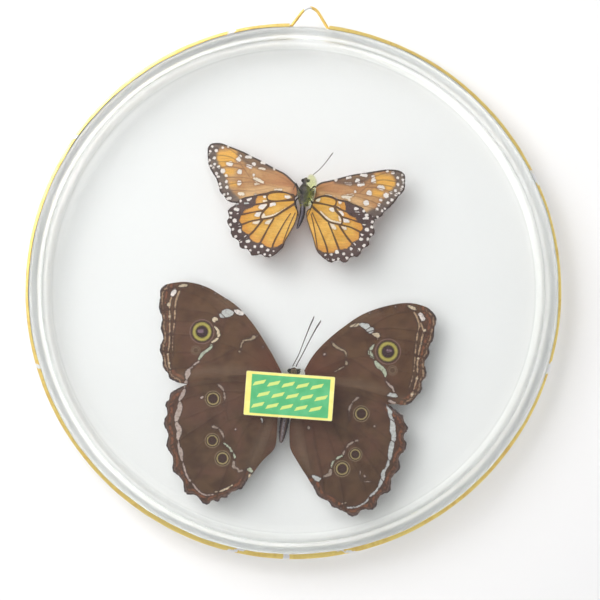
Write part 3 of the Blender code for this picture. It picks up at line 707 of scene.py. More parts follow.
DESIGNS = {
    "morpho_left_forewing": {
        "lobes": 0.46, "root": (-2.5, -33.0), "margin": ((-48.3, -0.7), (-48.2, -20.0), (-41.5, -36.7)),
        "veins": MORPHO_FORE_VEINS, "eyes": [(-33.2, -17.2, 3.55)],
        "faint_eyes": [(-35.1, -24.3, 1.9)],
        "marks": [
            line("white", 1.0, (-18.5, -9.4, 0.6), (-19.9, -9.2, 1.0), (-21.3, -8.7, 0.5)),
            line("frost", 1.5, (-22.3, -9.2, 0.8), (-23.9, -9.6, 1.5), (-25.6, -10.4, 1.4),
                 (-26.7, -10.7, 0.5)),
            line("cream", 0.8, (-27.8, -12.2, 0.4), (-28.8, -12.3, 0.8), (-28.8, -13.5, 0.3)),
            line("cream", 0.5, (-28.5, -14.9, 0.2), (-27.2, -16.6, 0.45), (-26.8, -18.3, 0.6),
                 (-27.6, -19.7, 0.55),
                 (-29.2, -20.9, 0.3)),
            line("mint", 0.6, (-29.3, -22.2, 0.7), (-30.6, -23.8, 0.55), (-32.4, -25.3, 0.5),
                 (-33.6, -27.3, 0.4)),
            line("pink", 0.5, (-33.8, -28.5, 0.3), (-35.4, -29.9, 0.45), (-36.9, -31.3, 0.4),
                 (-37.6, -33.1, 1.0),
                 (-37.7, -34.6, 0.5), (-38.1, -36.4, 0.7)),
            line("straw", 0.3, (-12.4, -17.6, 0.3), (-13.6, -17.9, 0.7), (-14.6, -18.9, 0.3),
                 (-17.2, -19.6, 0.3),
                 (-18.1, -20.9, 0.15), (-18.3, -22.7, 0.1), (-18.6, -23.6, 0.4)),
            line("white", 0.9, (-44.3, -2.3, 0.8), (-45.0, -3.8, 0.8)),
            line("cream", 0.5, (-39.9, -0.1, 0.5), (-41.6, -0.4, 0.5), (-42.9, -0.9, 0.2)),
            *dots("cream", 0.5, (-46.2, -7.9, 0.7), (-45.6, -12.2, 0.55), (-45.3, -18.8),
                  (-45.5, -26.3, 0.45),
                  (-44.9, -29.6, 0.4), (-44.3, -31.9)),
            line("tan", 0.26, (-45.5, -5.2), (-46.0, -8), (-45.6, -12.4), (-45.3, -19), (-45.2, -23),
                 (-45.5, -26.5),
                 (-44.9, -30.5), (-44.2, -32.9)),
            line("tan", 0.3, (-42.4, -2.0, 0.4), (-43.1, -4.3, 0.35), (-43.8, -7), (-43.8, -11),
                 (-43.8, -15, 0.18),
                 (-44.0, -21, 0.1), (-43.6, -27, 0.08)),
            *dots("pink", 0.3, (-34.0, -0.6), (-29.0, -2.6), (-25.2, -4.3), (-9.9, -21.3, 0.4)),
            line("violet", 0.7, (-33.3, -17.0), (-34.1, -17.1))],
        "glow": [line("fold", 1.0, (-21, -7.9, 0.3), (-26, -5.2, 0.6), (-30, -3.9, 0.2)),
                 line("fold", 1.0, (-6, -31.0, 0.5), (-18, -31.2, 1.6), (-30, -31.6, 1.2),
                      (-40, -34.5, 0.6))]},
    "morpho_right_forewing": {
        "lobes": 0.46, "root": (5.0, -33.0), "margin": ((51.6, -3.7), (52.4, -20.5), (45.5, -39.7)),
        "veins": carry_all(MORPHO_FORE_VEINS, *MORPHO_FORE_PLACES), "eyes": [(36.7, -20.4, 3.7)],
        "faint_eyes": [(38.8, -27.3, 2.0)],
        "marks": [
            line("cream", 0.8, (22.2, -11.9, 0.4), (23.7, -11.3, 0.75), (25.1, -10.6, 0.4)),
            line("frost", 1.3, (25.8, -10.8, 0.5), (27.8, -11.5, 1.1), (29.3, -12.6, 1.35),
                 (30.6, -12.7, 0.7)),
            line("cream", 0.8, (30.7, -14.2, 0.3), (32.3, -14.6, 0.9), (32.6, -15.7, 0.3)),
            line("mint", 0.5, (31.2, -18.2, 0.2), (30.4, -19.6, 0.6), (29.9, -21.2, 0.8),
                 (31.0, -22.7, 0.6),
                 (32.0, -23.6, 0.2)),
            line("mint", 0.7, (32.4, -24.4, 0.5), (33.3, -25.7, 0.9), (34.9, -26.9, 0.75),
                 (36.1, -28.4, 0.65),
                 (36.2, -29.7, 0.25)),
            line("pink", 0.4, (36.5, -31.0, 0.3), (37.5, -32.4), (39.1, -33.8), (39.9, -35.2, 0.3)),
            line("frost", 0.9, (37.6, -36.9, 0.4), (39.2, -36.7, 1.0), (40.8, -36.9, 0.6)),
            line("pink", 0.5, (38.2, -38.7, 0.4), (40.3, -39.4, 0.5)),
            line("straw", 0.3, (15.7, -18.2, 0.45), (16.7, -19.4, 0.45), (18.5, -20.4, 0.3),
                 (20.8, -21.4, 0.3),
                 (21.1, -23, 0.1), (21.2, -25, 0.25), (21.5, -25.8, 0.5)),
            line("straw", 0.12, (20.5, -27.0), (17.3, -29.0)),
            line("white", 0.9, (47.9, -5.7, 0.7), (49.0, -7.3, 0.8)),
            line("cream", 0.5, (43.2, -2.7, 0.4), (45.2, -3.7, 0.6), (46.3, -4.4, 0.25)),
            *dots("cream", 0.55, (49.9, -11.9, 0.7), (49.0, -16.6), (48.2, -22.3, 0.5), (48.1, -29.8, 0.45),
                  (46.7, -35.8)),
            line("tan", 0.26, (48.4, -9.0), (49.4, -12), (48.9, -16), (48.3, -20), (48.0, -24),
                 (48.3, -28.5), (47.7, -32),
                 (46.5, -36.6)),
            line("tan", 0.3, (45.6, -5.0, 0.35), (46.9, -7.3), (47.8, -10.2), (47.3, -13.6),
                 (47.0, -18, 0.2),
                 (46.9, -24, 0.14), (46.6, -29, 0.1), (45.4, -34, 0.1)),
            *dots("pink", 0.3, (38.5, -3.4, 0.4), (33.2, -4.8), (29.0, -6.4), (13.0, -22.8, 0.45)),
            line("violet", 0.7, (36.6, -20.2), (37.5, -20.2))],
        "glow": [line("fold", 1.0, (24.5, -9.7, 0.3), (29, -7.4, 0.5), (33, -6.2, 0.2)),
                 line("fold", 1.0, (7, -32.0, 0.5), (20, -33.0, 1.6), (33, -34.2, 1.2), (43, -38, 0.6))]},
    "morpho_left_hindwing": {
        "lobes": 0.62, "root": (-2.7, -38.0), "margin": ((-40.0, -38.2), (-42.2, -64.5), (-11.2, -69.2)),
        "veins": MORPHO_HIND_VEINS,
        "eyes": [(-27.5, -41.9, 3.2), (-26.8, -57.5, 2.9), (-22.6, -63.9, 3.1)],
        "marks": [
            line("grey", 0.3, (-25.8, -36.6, 0.35), (-24.2, -37.9, 0.4), (-23.3, -39.9), (-23.1, -42, 0.2),
                 (-23.6, -44, 0.1)),
            line("grey", 0.35, (-26.8, -52.3, 0.5), (-24.8, -52.9), (-23.2, -54.6), (-22.5, -56.8, 0.25)),
            line("mint", 0.35, (-22.3, -58.3, 0.25), (-20.6, -59.4, 0.3), (-19.0, -61.2, 0.4),
                 (-18.0, -63.3, 0.25)),
            line("grey", 0.4, (-18.3, -65.0), (-18.2, -66.8, 0.5), (-16.8, -67.3, 0.3), (-16.2, -68.3, 0.3),
                 (-15, -67.9, 0.3)),
            line("mint", 0.6, (-14.0, -67.6, 0.3), (-12.4, -67.3, 0.7), (-11.5, -67.9, 0.5)),
            line("cream", 0.3, (-11.9, -69.4, 0.35), (-12.4, -70.6, 0.2)),
            *dots("pink", 0.5, (-31.7, -41.7), (-18.4, -52.7, 0.3), (-34.3, -41.4, 0.2)),
            line("frost", 0.4, (-9.0, -48.0, 0.2), (-8.3, -49.6, 0.5)),
            line("pink", 0.9, (-38.4, -38.2, 0.4), (-38.7, -40.6, 0.7), (-39.9, -43.4, 0.6),
                 (-39.7, -46.4, 0.9),
                 (-40.6, -49.6, 0.9), (-40.4, -52.4, 0.7), (-39.4, -54.4, 1.0), (-39.6, -57, 0.6),
                 (-39.2, -60.2, 0.35),
                 (-38.4, -62.4, 0.8), (-37.7, -65.4, 0.35), (-36.6, -68.6, 0.35), (-35.2, -71.8, 0.25),
                 (-33.0, -74.2, 0.3), (-30.9, -76.6, 0.25), (-28.2, -77.9, 0.2), (-25.2, -77.6, 0.2)),
            line("cream", 0.35, (-24.6, -76.5, 0.25), (-22.8, -76.2, 0.35), (-20.5, -75.1, 0.25),
                 (-18.3, -73.6, 0.1))],
        "glow": [line("fold", 1.0, (-5.4, -46.0, 1.4), (-7.0, -53, 1.7), (-9.6, -60, 1.5),
                      (-12.2, -66, 0.5))]},
    "morpho_right_hindwing": {
        "lobes": 0.62, "root": (5.3, -38.0), "margin": ((39.4, -40.9), (43.0, -65.5), (11.3, -71.8)),
        "veins": carry_all(MORPHO_HIND_VEINS, *MORPHO_HIND_PLACES),
        "eyes": [(28.1, -44.1, 3.2), (26.8, -59.4, 2.7), (22.2, -65.0, 3.2)],
        "marks": [
            line("grey", 0.35, (26.5, -38.2, 0.4), (24.9, -39.6), (23.7, -41.8), (23.4, -44.4, 0.25),
                 (24.0, -47, 0.1)),
            line("grey", 0.35, (27.1, -54.2, 0.45), (25.0, -55.2, 0.35), (23.2, -57.2, 0.3),
                 (22.3, -59.4, 0.3)),
            line("mint", 0.35, (21.7, -60.3, 0.3), (19.9, -61.4), (18.4, -63.2, 0.3), (18.2, -64.6, 0.15)),
            line("grey", 0.5, (17.9, -65.8, 0.5), (17.6, -67.3, 0.6), (15.4, -68.3, 0.35)),
            line("frost", 0.6, (15.2, -68.9, 0.25), (13.2, -69.3, 0.8), (11.4, -68.3, 0.35)),
            *dots("grey", 0.4, (33.3, -48.7, 0.5), (30.8, -67.4, 0.4), (29.6, -68.6, 0.3),
                  (8.9, -50.4, 0.6)),
            line("grey", 0.12, (29.0, -65.4), (29.0, -67.6), (30.6, -69.2), (33.0, -69.2)),
            line("frost", 0.9, (37.2, -40.2, 0.3), (38.8, -42.8, 0.7), (38.9, -44.6, 0.6),
                 (40.1, -46.6, 0.9),
                 (40.2, -49.4, 1.0), (40.8, -52, 0.8), (40.3, -54.6, 0.9), (39.9, -57, 0.8),
                 (39.6, -60.2, 0.7),
                 (38.9, -63.4, 0.35), (37.7, -65.6, 0.6), (37.4, -68.2, 0.8), (36.3, -71, 0.35),
                 (35.2, -72.8, 0.3),
                 (33.2, -74.6, 0.35), (31.8, -76.9, 0.25), (28.6, -78.9, 0.25), (25.0, -79.4, 0.2)),
            line("cream", 0.35, (24.1, -77.7, 0.4), (22.9, -77.9, 0.15))],
        "glow": [line("fold", 1.0, (4.0, -47.0, 1.4), (5.2, -54, 1.7), (7.6, -61, 1.5), (10.6, -67, 0.5))]},
    "queen_left_forewing": {
        "lobes": 0.28, "root": (-1.2, 37.5), "margin": ((-33.8, 53.0), (-31.8, 40.3), (-25.6, 31.8)),
        "veins": QUEEN_FORE_VEINS,
        "marks": [
            *dots("white", 0.55, (-23.4, 47.6, 0.8), (-22.8, 48.9, 0.5), (-22.7, 43.1, 0.75),
                  (-22.6, 39.0, 0.75),
                  (-17.4, 42.3, 0.4), (-17.6, 46.2, 0.65), (-9.8, 45.0, 0.45), (-33.5, 52.0, 0.35),
                  (-29.5, 51.9, 0.4),
                  (-27.5, 52.2, 0.35), (-31.9, 50.6, 0.45), (-34.1, 50.2, 0.3), (-34.5, 49.0, 0.25),
                  (-32.5, 47.8, 0.5),
                  (-34.2, 46.9, 0.3), (-34.4, 46.2, 0.2), (-32.1, 45.5, 0.4), (-33.6, 44.8, 0.35),
                  (-30.6, 44.5, 0.5),
                  (-32.6, 43.9, 0.4), (-29.0, 43.1, 0.75), (-31.3, 42.0, 0.45), (-30.5, 40.8, 0.45),
                  (-27.6, 41.4, 0.45),
                  (-27.5, 39.2, 0.45), (-29.8, 38.2, 0.4), (-27.1, 37.1, 0.5), (-29.3, 37.0, 0.4),
                  (-28.0, 34.4, 0.4),
                  (-26.6, 34.7, 0.3)),
            line("white", 0.6, (-27.4, 46.0, 0.5), (-26.3, 45.9, 0.8)),
            line("white", 0.5, (-20.6, 48.8, 0.35), (-18.9, 48.9, 0.45)),
            line("white", 0.5, (-20.0, 45.6, 0.3), (-18.7, 45.1, 0.5)),
            line("white", 0.4, (-14.6, 47.1, 0.4), (-13.6, 46.7, 0.25)),
            line("ivory", 0.35, (-15.4, 44.8), (-13.4, 44.7, 0.15)),
            line("ivory", 0.6, (-17.0, 40.8, 0.4), (-15.6, 40.2, 0.75), (-13.8, 39.6, 0.35)),
            line("ivory", 0.3, (-16.6, 38.9, 0.3), (-15.2, 39.4, 0.3)),
            line("ivory", 0.5, (-22.2, 35.0, 0.5), (-20.9, 35.0, 0.4)),
            line("white", 0.4, (-26.6, 33.0, 0.4), (-25.6, 33.1, 0.4)),
            line("ivory", 0.18, (-9.0, 37.3), (-6.8, 37.4)),
            *dots("pink", 0.4, (-12.6, 35.0, 0.6), (-16.2, 34.9, 0.4))],
        "dusk": [line("black", 1.0, (-23.2, 50.0, 0.8), (-20.0, 48.0, 1.8), (-16.0, 46.7, 1.6),
                      (-11.0, 45.2, 0.9))],
        "glow": [line("gold", 2.6, (-26.2, 48.8, 2.4), (-29.3, 47.6, 2.9)),
                 line("gold", 1.2, (-25.6, 43.0), (-27.6, 42.9)),
                 line("sand", 1.4, (-4.0, 37.6, 0.8), (-13, 37.2, 1.4), (-20, 34.4, 1.6)),
                 line("gold", 1.0, (-24.0, 38.4, 0.8), (-25.4, 38.4, 0.8))]},
    "queen_right_forewing": {
        "lobes": 0.28, "root": (4.9, 37.0), "margin": ((37.9, 46.8), (37.2, 37.2), (28.0, 28.8)),
        "veins": carry_all(QUEEN_FORE_VEINS, *QUEEN_FORE_PLACES),
        "marks": [
            *dots("white", 0.5, (27.3, 42.8, 0.8), (27.1, 44.3, 0.55), (26.0, 38.2, 0.9), (25.1, 34.5, 0.9),
                  (20.7, 38.4, 0.35), (21.3, 42.4, 0.75), (13.3, 42.3, 0.5), (37.9, 45.7, 0.3),
                  (34.3, 46.3, 0.5),
                  (32.3, 46.7, 0.4), (36.2, 44.6, 0.45), (38.3, 43.9, 0.35), (38.5, 42.8, 0.3),
                  (36.5, 42.1, 0.45),
                  (38.2, 41.3, 0.3), (37.8, 40.3, 0.35), (35.7, 39.8, 0.4), (37.1, 38.9, 0.35),
                  (34.1, 38.8, 0.4),
                  (36.0, 38.2, 0.45), (32.3, 37.7, 0.85), (34.6, 36.2, 0.45), (30.5, 36.0, 0.5),
                  (33.2, 35.1, 0.45),
                  (35.0, 34.1, 0.25), (30.0, 34.1, 0.5), (32.2, 32.9, 0.4), (29.3, 32.3, 0.5),
                  (31.2, 31.9, 0.35),
                  (29.7, 29.5, 0.35)),
            line("white", 0.7, (29.6, 40.6, 0.7), (30.8, 40.4, 0.75)),
            line("white", 0.45, (22.6, 44.7, 0.3), (24.4, 44.6, 0.45)),
            line("white", 0.5, (22.0, 41.1, 0.6), (23.5, 41.3, 0.45)),
            line("white", 0.35, (17.4, 43.2, 0.35), (18.6, 43.6, 0.2)),
            line("pink", 0.45, (16.9, 41.2, 0.3), (18.8, 41.1, 0.45)),
            line("ivory", 0.6, (16.2, 36.2, 0.35), (18.0, 36.4, 0.75), (19.8, 37.0, 0.4)),
            line("ivory", 0.4, (18.4, 35.7, 0.4), (19.0, 35.0, 0.2)),
            line("ivory", 0.35, (10.0, 36.3), (11.8, 36.1, 0.25)),
            *dots("pink", 0.45, (18.9, 33.6, 0.5), (13.9, 35.4, 0.3), (15.2, 34.4, 0.5))],
        "dusk": [line("black", 1.0, (26.4, 45.4, 0.7), (23.0, 43.2, 1.6), (19.0, 42.3, 1.6),
                      (13.5, 41.8, 0.9)),
                 line("black", 0.9, (17.2, 33.9, 0.8), (20.5, 33.2, 0.5))],
        "glow": [line("gold", 2.6, (29.4, 43.4, 2.2), (33.0, 42.4, 2.7)),
                 line("gold", 1.3, (28.2, 38.4), (30.2, 38.2, 1.0)),
                 line("sand", 1.4, (8.0, 36.9, 0.6), (15, 36.0, 0.9), (21, 34.6, 1.6), (26, 32.0, 1.4))]},
    "queen_left_hindwing": {
        "lobes": 0.42, "narrowing": 3.1, "root": (-0.8, 33.6),
        "margin": ((-20.5, 33.7), (-22.8, 17.8), (-5.2, 15.4)),
        "veins": QUEEN_LEFT_HIND_VEINS,
        "marks": [
            *dots("white", 0.45, (-18.8, 33.1, 0.6), (-18.0, 33.5, 0.4), (-22.6, 29.1, 0.55),
                  (-23.4, 29.2, 0.45),
                  (-22.4, 27.1, 0.4), (-23.4, 24.9, 0.65), (-21.5, 23.2, 0.5), (-21.3, 21.1, 0.6),
                  (-18.9, 19.0, 0.5),
                  (-17.8, 17.5, 0.5), (-18.3, 17.4, 0.4), (-15.3, 15.6, 0.4), (-12.8, 15.9, 0.5),
                  (-10.4, 14.6, 0.45),
                  (-8.3, 14.4, 0.3), (-21.6, 32.3, 0.35), (-25.0, 27.6, 0.4), (-25.0, 26.0, 0.35),
                  (-24.9, 23.3, 0.4),
                  (-23.8, 21.5, 0.4), (-22.6, 18.9, 0.45), (-20.8, 17.3, 0.45), (-18.7, 15.3, 0.4),
                  (-16.9, 14.3, 0.35),
                  (-13.8, 13.6, 0.35), (-11.4, 13.0, 0.35), (-9.4, 12.8, 0.3)),
            line("frost", 0.45, (-19.8, 31.3, 0.4), (-18.7, 31.3, 0.4)),
            line("frost", 0.35, (-23.2, 30.8), (-22.7, 31.0, 0.25)),
            line("white", 0.6, (-10.4, 31.5, 0.5), (-9.2, 31.9, 0.65)),
            line("white", 0.6, (-12.2, 31.2, 0.35), (-13.2, 30.7, 0.85), (-14.2, 30.3, 0.5)),
            line("white", 0.6, (-14.1, 28.6, 0.45), (-14.7, 27.8, 0.8), (-15.6, 27.3, 0.4)),
            line("ivory", 0.5, (-13.9, 24.9, 0.4), (-15.2, 24.6, 0.5), (-16.4, 24.5, 0.2)),
            line("ivory", 0.6, (-9.6, 25.7, 0.35), (-10.6, 25.1, 0.7), (-11.6, 24.6, 0.3)),
            line("ivory", 0.35, (-13.3, 26.5, 0.5), (-11.0, 26.8, 0.4), (-8.0, 28.0, 0.35),
                 (-4.4, 30.6, 0.2)),
            line("ivory", 0.3, (-12.8, 27.6, 0.5), (-13.2, 27.0, 0.4)),
            line("ivory", 0.4, (-11.6, 32.8), (-13.0, 32.7, 0.2)),
            line("white", 0.6, (-3.9, 34.7, 0.6), (-5.0, 34.9, 0.25)),
            *dots("white", 0.5, (-12.8, 34.6), (-1.2, 32.2, 0.3))],
        "glow": []},
    "queen_right_hindwing": {
        "lobes": 0.42, "narrowing": 3.1, "root": (4.9, 33.0),
        "margin": ((22.0, 33.3), (26.0, 17.7), (8.8, 14.2)),
        "veins": QUEEN_RIGHT_HIND_VEINS,
        "marks": [
            *dots("white", 0.45, (21.3, 32.0, 0.5), (22.0, 32.3, 0.45), (25.5, 30.1, 0.55),
                  (25.6, 28.8, 0.4),
                  (24.9, 26.6, 0.5), (25.9, 24.5, 0.6), (24.3, 22.7, 0.5), (24.0, 20.8, 0.55),
                  (21.5, 18.6, 0.5),
                  (20.4, 17.1, 0.45), (17.8, 15.0, 0.45), (15.3, 15.5, 0.6), (13.3, 14.4, 0.4),
                  (11.0, 14.1, 0.3),
                  (24.4, 31.4, 0.4), (28.0, 29.9, 0.35), (27.8, 27.5, 0.45), (27.7, 25.6, 0.45),
                  (27.5, 22.8, 0.4),
                  (26.5, 21.0, 0.5), (25.2, 18.5, 0.5), (23.4, 16.8, 0.55), (21.0, 14.9, 0.4),
                  (19.1, 13.6, 0.4),
                  (15.9, 13.0, 0.35), (14.1, 12.5, 0.35), (12.0, 12.5, 0.3)),
            line("white", 0.4, (21.4, 30.5, 0.35), (22.6, 30.4, 0.4)),
            line("white", 0.4, (24.6, 28.6, 0.3), (25.9, 28.8, 0.35)),
            line("white", 0.6, (11.9, 31.3, 0.4), (12.8, 31.1, 0.7)),
            line("white", 0.6, (14.9, 30.3, 0.4), (15.7, 29.9, 0.85), (16.6, 29.4, 0.4)),
            line("white", 0.6, (17.0, 27.8, 0.45), (17.7, 27.5, 0.75), (18.9, 27.1, 0.3)),
            line("ivory", 0.5, (16.7, 24.7, 0.4), (17.8, 24.4, 0.4)),
            line("ivory", 0.6, (12.6, 25.5, 0.35), (13.3, 24.8, 0.6), (14.2, 24.2, 0.25)),
            line("ivory", 0.35, (16.1, 26.2, 0.45), (13.6, 26.4, 0.45), (11.2, 27.4, 0.35),
                 (8.4, 29.9, 0.2)),
            line("ivory", 0.35, (15.8, 27.6, 0.4), (15.2, 28.6, 0.15)),
            line("white", 0.5, (7.0, 34.2, 0.6), (7.6, 34.8, 0.3)),
            *dots("white", 0.4, (14.7, 32.0, 0.45), (15.3, 34.0, 0.5))],
        "glow": []},
}


# Wing materials

BLACK = (0.0, 0.0, 0.0)
DARK_GRAIN = rgb(30, 18, 14)
DARK_STREAK = rgb(34, 22, 18)
RELIEF_DEPTH = 0.03
EYE_PLACE_SHARE = 0.05
QUEEN_MARKS = {"Halo": 0.25, "Fraying": 0.9, "Flecks": 0.06, "Spread": 0.26, "Pinch": 0.0}
MORPHO_MARKS = {"Fraying": 1.0, "Flecks": 0.2, "Worn": 0.4}


def ragged(recipe, distance, grain, depth=0.5):
    """A distance whose edge is broken by the grain of the scales."""
    shift = recipe.math("MULTIPLY", recipe.math("SUBTRACT", grain, 0.5), depth)
    return recipe.math("ADD", distance, shift)


def band_mask(recipe, distance, middle, half):
    """1 where a distance is near a middle value, softly 0 beyond a half-width."""
    away = recipe.math("ABSOLUTE", recipe.math("SUBTRACT", distance, middle))
    return recipe.step(away, half, half * 0.35)


def part_of(recipe, mask, amount):
    return recipe.math("MULTIPLY", mask, amount)


def new_effect(name, *inputs):
    """A shader group that lays something over the colour of a wing, broken by the wing's scales."""
    given = [("Colour", BLACK), ("Grain", 0.5), ("Fray", 0.5), *inputs]
    return new_group(name, given, ["Colour"])


def make_glow():
    """Soft patches of colour, from the distance to the wing's glow strokes."""
    tree, recipe, given, put = new_effect("wing_glow", ("Amount", 1.0), ("Soft", 1.0))
    distance = ragged(recipe, recipe.attribute("glow"), given["Grain"])
    mask = recipe.step(distance, given["Soft"], recipe.math("MULTIPLY", given["Soft"], -1.0))
    mask = recipe.math("MULTIPLY", mask, given["Amount"])
    recipe.feed(put["Colour"], recipe.mix(mask, given["Colour"], recipe.attribute("glow_tint", True)))
    return tree


def make_pale_marks():
    """Pale marks on top, with a darker line close around them; worn thins them in patches."""
    tree, recipe, given, put = new_effect("pale_marks", ("Halo", 0.3), ("Fraying", 1.0), ("Flecks", 0.25),
                                          ("Worn", 0.0), ("Spread", 0.16), ("Pinch", 0.3))
    fray = recipe.math("MULTIPLY", recipe.math("SUBTRACT", given["Fray"], 0.5), given["Fraying"])
    pinched = recipe.math("MULTIPLY", recipe.step(recipe.attribute("vein"), 1.1, 0.0), given["Pinch"])
    marks = recipe.math("ADD", recipe.math("ADD", recipe.attribute("marks"), fray), pinched)
    dark = recipe.math("MULTIPLY", recipe.step(marks, 0.95, 0.15), given["Halo"])
    colour = recipe.mix(dark, given["Colour"], rgb(58, 40, 36))
    fleck = recipe.stretch(given["Fray"], 0.3, 0.7, 0.0, given["Flecks"])
    flecked = recipe.mix(fleck, recipe.attribute("tint", True), rgb(150, 124, 104))
    full = recipe.math("SUBTRACT", given["Spread"], 0.3)
    mask = recipe.step(ragged(recipe, marks, given["Grain"]), given["Spread"], full)
    mask = recipe.math("MULTIPLY", mask, recipe.step(recipe.attribute("vein"), 0.06, 0.26))
    least = recipe.math("SUBTRACT", 1.0, given["Worn"])
    whole = recipe.stretch(recipe.noise(0.9, detail=3.0, rough=0.6), 0.34, 0.52, least, 1.0)
    recipe.feed(put["Colour"], recipe.mix(recipe.math("MULTIPLY", mask, whole), colour, flecked))
    return tree


def make_morpho_ground():
    """A morpho's brown, clouded, rosy at the root and dark along the veins; its colour is the light brown."""
    tree, recipe, given, put = new_effect("morpho_ground", ("Dark", BLACK), ("Cloud", 0.5))
    cloud = recipe.step(given["Cloud"], 0.34, 0.66)
    colour = recipe.mix(cloud, given["Dark"], given["Colour"])
    reddish = recipe.step(recipe.noise(13.0, detail=3.0, warp=0.6), 0.44, 0.66)
    colour = recipe.mix(part_of(recipe, reddish, 0.4), colour, rgb(112, 72, 58))
    veins = recipe.step(ragged(recipe, recipe.attribute("vein"), given["Grain"], 0.2), 0.42, 0.04)
    colour = recipe.mix(part_of(recipe, veins, 0.3), colour, rgb(50, 30, 24))
    rosy = part_of(recipe, recipe.step(recipe.attribute("root"), 20.0, 3.0), 0.6)
    recipe.feed(put["Colour"], recipe.mix(rosy, colour, rgb(104, 50, 34)))
    return tree


def make_morpho_edge():
    """The dark rim, the pale line and the rust-brown band that follow a morpho's outer margin."""
    tree, recipe, given, put = new_effect(
        "morpho_edge", ("Pale", BLACK), ("Pale place", 1.0), ("Rust place", 2.0))
    margin = ragged(recipe, recipe.attribute("margin"), given["Grain"], 0.3)
    margin = recipe.math("ADD", margin, recipe.stretch(given["Fray"], 0.2, 0.8, -0.45, 0.45))
    broken = recipe.step(recipe.noise(1.6, detail=2.0), 0.36, 0.54)
    crossed = recipe.math("MULTIPLY", broken, recipe.step(recipe.attribute("vein"), 0.05, 0.6))
    dark = recipe.step(recipe.math("SUBTRACT", margin, given["Rust place"]), 1.8, 0.8)
    colour = recipe.mix(part_of(recipe, dark, 0.45), given["Colour"], rgb(66, 46, 42))
    rust = recipe.math("MULTIPLY", band_mask(recipe, margin, given["Rust place"], 0.75), crossed)
    rusty = recipe.mix(recipe.step(given["Fray"], 0.4, 0.6), rgb(120, 74, 54), rgb(156, 96, 62))
    colour = recipe.mix(part_of(recipe, rust, 0.75), colour, rusty)
    pale = recipe.math("MULTIPLY", band_mask(recipe, margin, given["Pale place"], 0.42), broken)
    colour = recipe.mix(part_of(recipe, pale, 0.75), colour, given["Pale"])
    colour = recipe.mix(recipe.step(margin, 1.15, 0.5), colour, rgb(64, 52, 52))
    fringe = recipe.step(recipe.attribute("rim"), 0.34, 0.1)
    fringe = recipe.math("MULTIPLY", fringe, recipe.step(recipe.attribute("margin"), 0.9, 0.4))
    tufts = recipe.step(recipe.noise(1.5, detail=1.0), 0.56, 0.64)
    recipe.feed(put["Colour"], recipe.mix(recipe.math("MULTIPLY", fringe, tufts), colour, rgb(206, 194, 186)))
    return tree


def make_eyespot():
    """An eyespot from the distance to its centre: the place along its rings and where it ends."""
    tree, recipe, given, put = new_group(
        "eyespot", [("Distance", OUT_OF_REACH), ("Fray", 0.5), ("Reach", 1.0)], ["Place", "Mask"])
    shift = recipe.math("MULTIPLY", recipe.math("SUBTRACT", given["Fray"], 0.5), 0.14)
    distance = recipe.math("ADD", given["Distance"], shift)
    recipe.feed(put["Place"], recipe.math("MULTIPLY", distance, 0.5))
    inner = recipe.math("SUBTRACT", given["Reach"], 0.14)
    recipe.feed(put["Mask"], recipe.step(distance, given["Reach"], inner))
    return tree


GLOW = make_glow()
PALE_MARKS = make_pale_marks()
MORPHO_GROUND = make_morpho_ground()
MORPHO_EDGE = make_morpho_edge()
EYESPOT = make_eyespot()


def lay(recipe, effect, colour, scales, **values):
    """The colour with an effect laid over it, its values given by name."""
    inputs = {label.replace("_", " "): value for label, value in values.items()}
    node = recipe.group(effect, {"Colour": colour, **inputs})
    for label in ("Grain", "Fray"):
        recipe.feed(node.inputs[label], scales.outputs[label])
    return node.outputs["Colour"]


def add_eyespots(recipe, colour, scales, rings, reach, which="eye"):
    """Rings by their distance from the spot's centre, in twentieths of the ramp; they end at the reach."""
    spot = recipe.group(EYESPOT, {"Distance": recipe.attribute(which), "Fray": scales.outputs["Fray"],
                                  "Reach": reach}).outputs
    ringed = recipe.ramp(spot["Place"], *[(EYE_PLACE_SHARE * place, tint) for place, tint in rings])
    return recipe.mix(spot["Mask"], colour, ringed)


def wing_paint(name, body):
    """A wing's material: body(recipe, scales) gives its colour, and the scales give a fine relief."""
    paint, recipe, shader = new_paint(name, Roughness=0.62, Specular_IOR_Level=0.3)
    scales = recipe.group(WING_SCALES)
    grain = recipe.stretch(scales.outputs["Grain"], 0.25, 0.75, 0.0, 0.3)
    streak = recipe.stretch(scales.outputs["Streak"], 0.3, 0.75, 0.0, 0.28)
    dusted = recipe.mix(grain, body(recipe, scales), DARK_GRAIN)
    recipe.feed(shader.inputs["Base Color"], recipe.mix(streak, dusted, DARK_STREAK))
    recipe.relief(shader, scales.outputs["Height"], 0.35, RELIEF_DEPTH)
    return paint


FORE_RINGS = [
    (0.0, rgb(84, 58, 76)), (1.6, rgb(62, 38, 50)), (5.2, rgb(50, 30, 34)), (6.1, rgb(64, 48, 28)),
    (6.8, rgb(150, 138, 62)), (8.4, rgb(188, 176, 88)), (9.7, rgb(140, 126, 58)), (10.5, rgb(54, 36, 28)),
    (11.8, rgb(84, 56, 44)), (12.7, rgb(130, 100, 88)), (13.6, rgb(92, 62, 48))]
FAINT_RINGS = [
    (0.0, rgb(110, 78, 56)), (2.2, rgb(84, 58, 42)), (4.4, rgb(84, 58, 42)), (5.4, rgb(150, 128, 98)),
    (6.3, rgb(96, 70, 52)), (8.0, rgb(96, 70, 52)), (8.9, rgb(138, 114, 90)), (9.8, rgb(100, 72, 54))]
HIND_RINGS = [
    (0.0, rgb(66, 42, 40)), (4.4, rgb(56, 34, 28)), (5.4, rgb(72, 52, 34)), (6.2, rgb(170, 154, 104)),
    (7.0, rgb(156, 138, 90)), (7.6, rgb(62, 44, 32)), (8.3, rgb(68, 48, 36)), (9.1, rgb(140, 120, 88)),
    (9.8, rgb(104, 80, 60)), (10.6, rgb(84, 58, 46))]

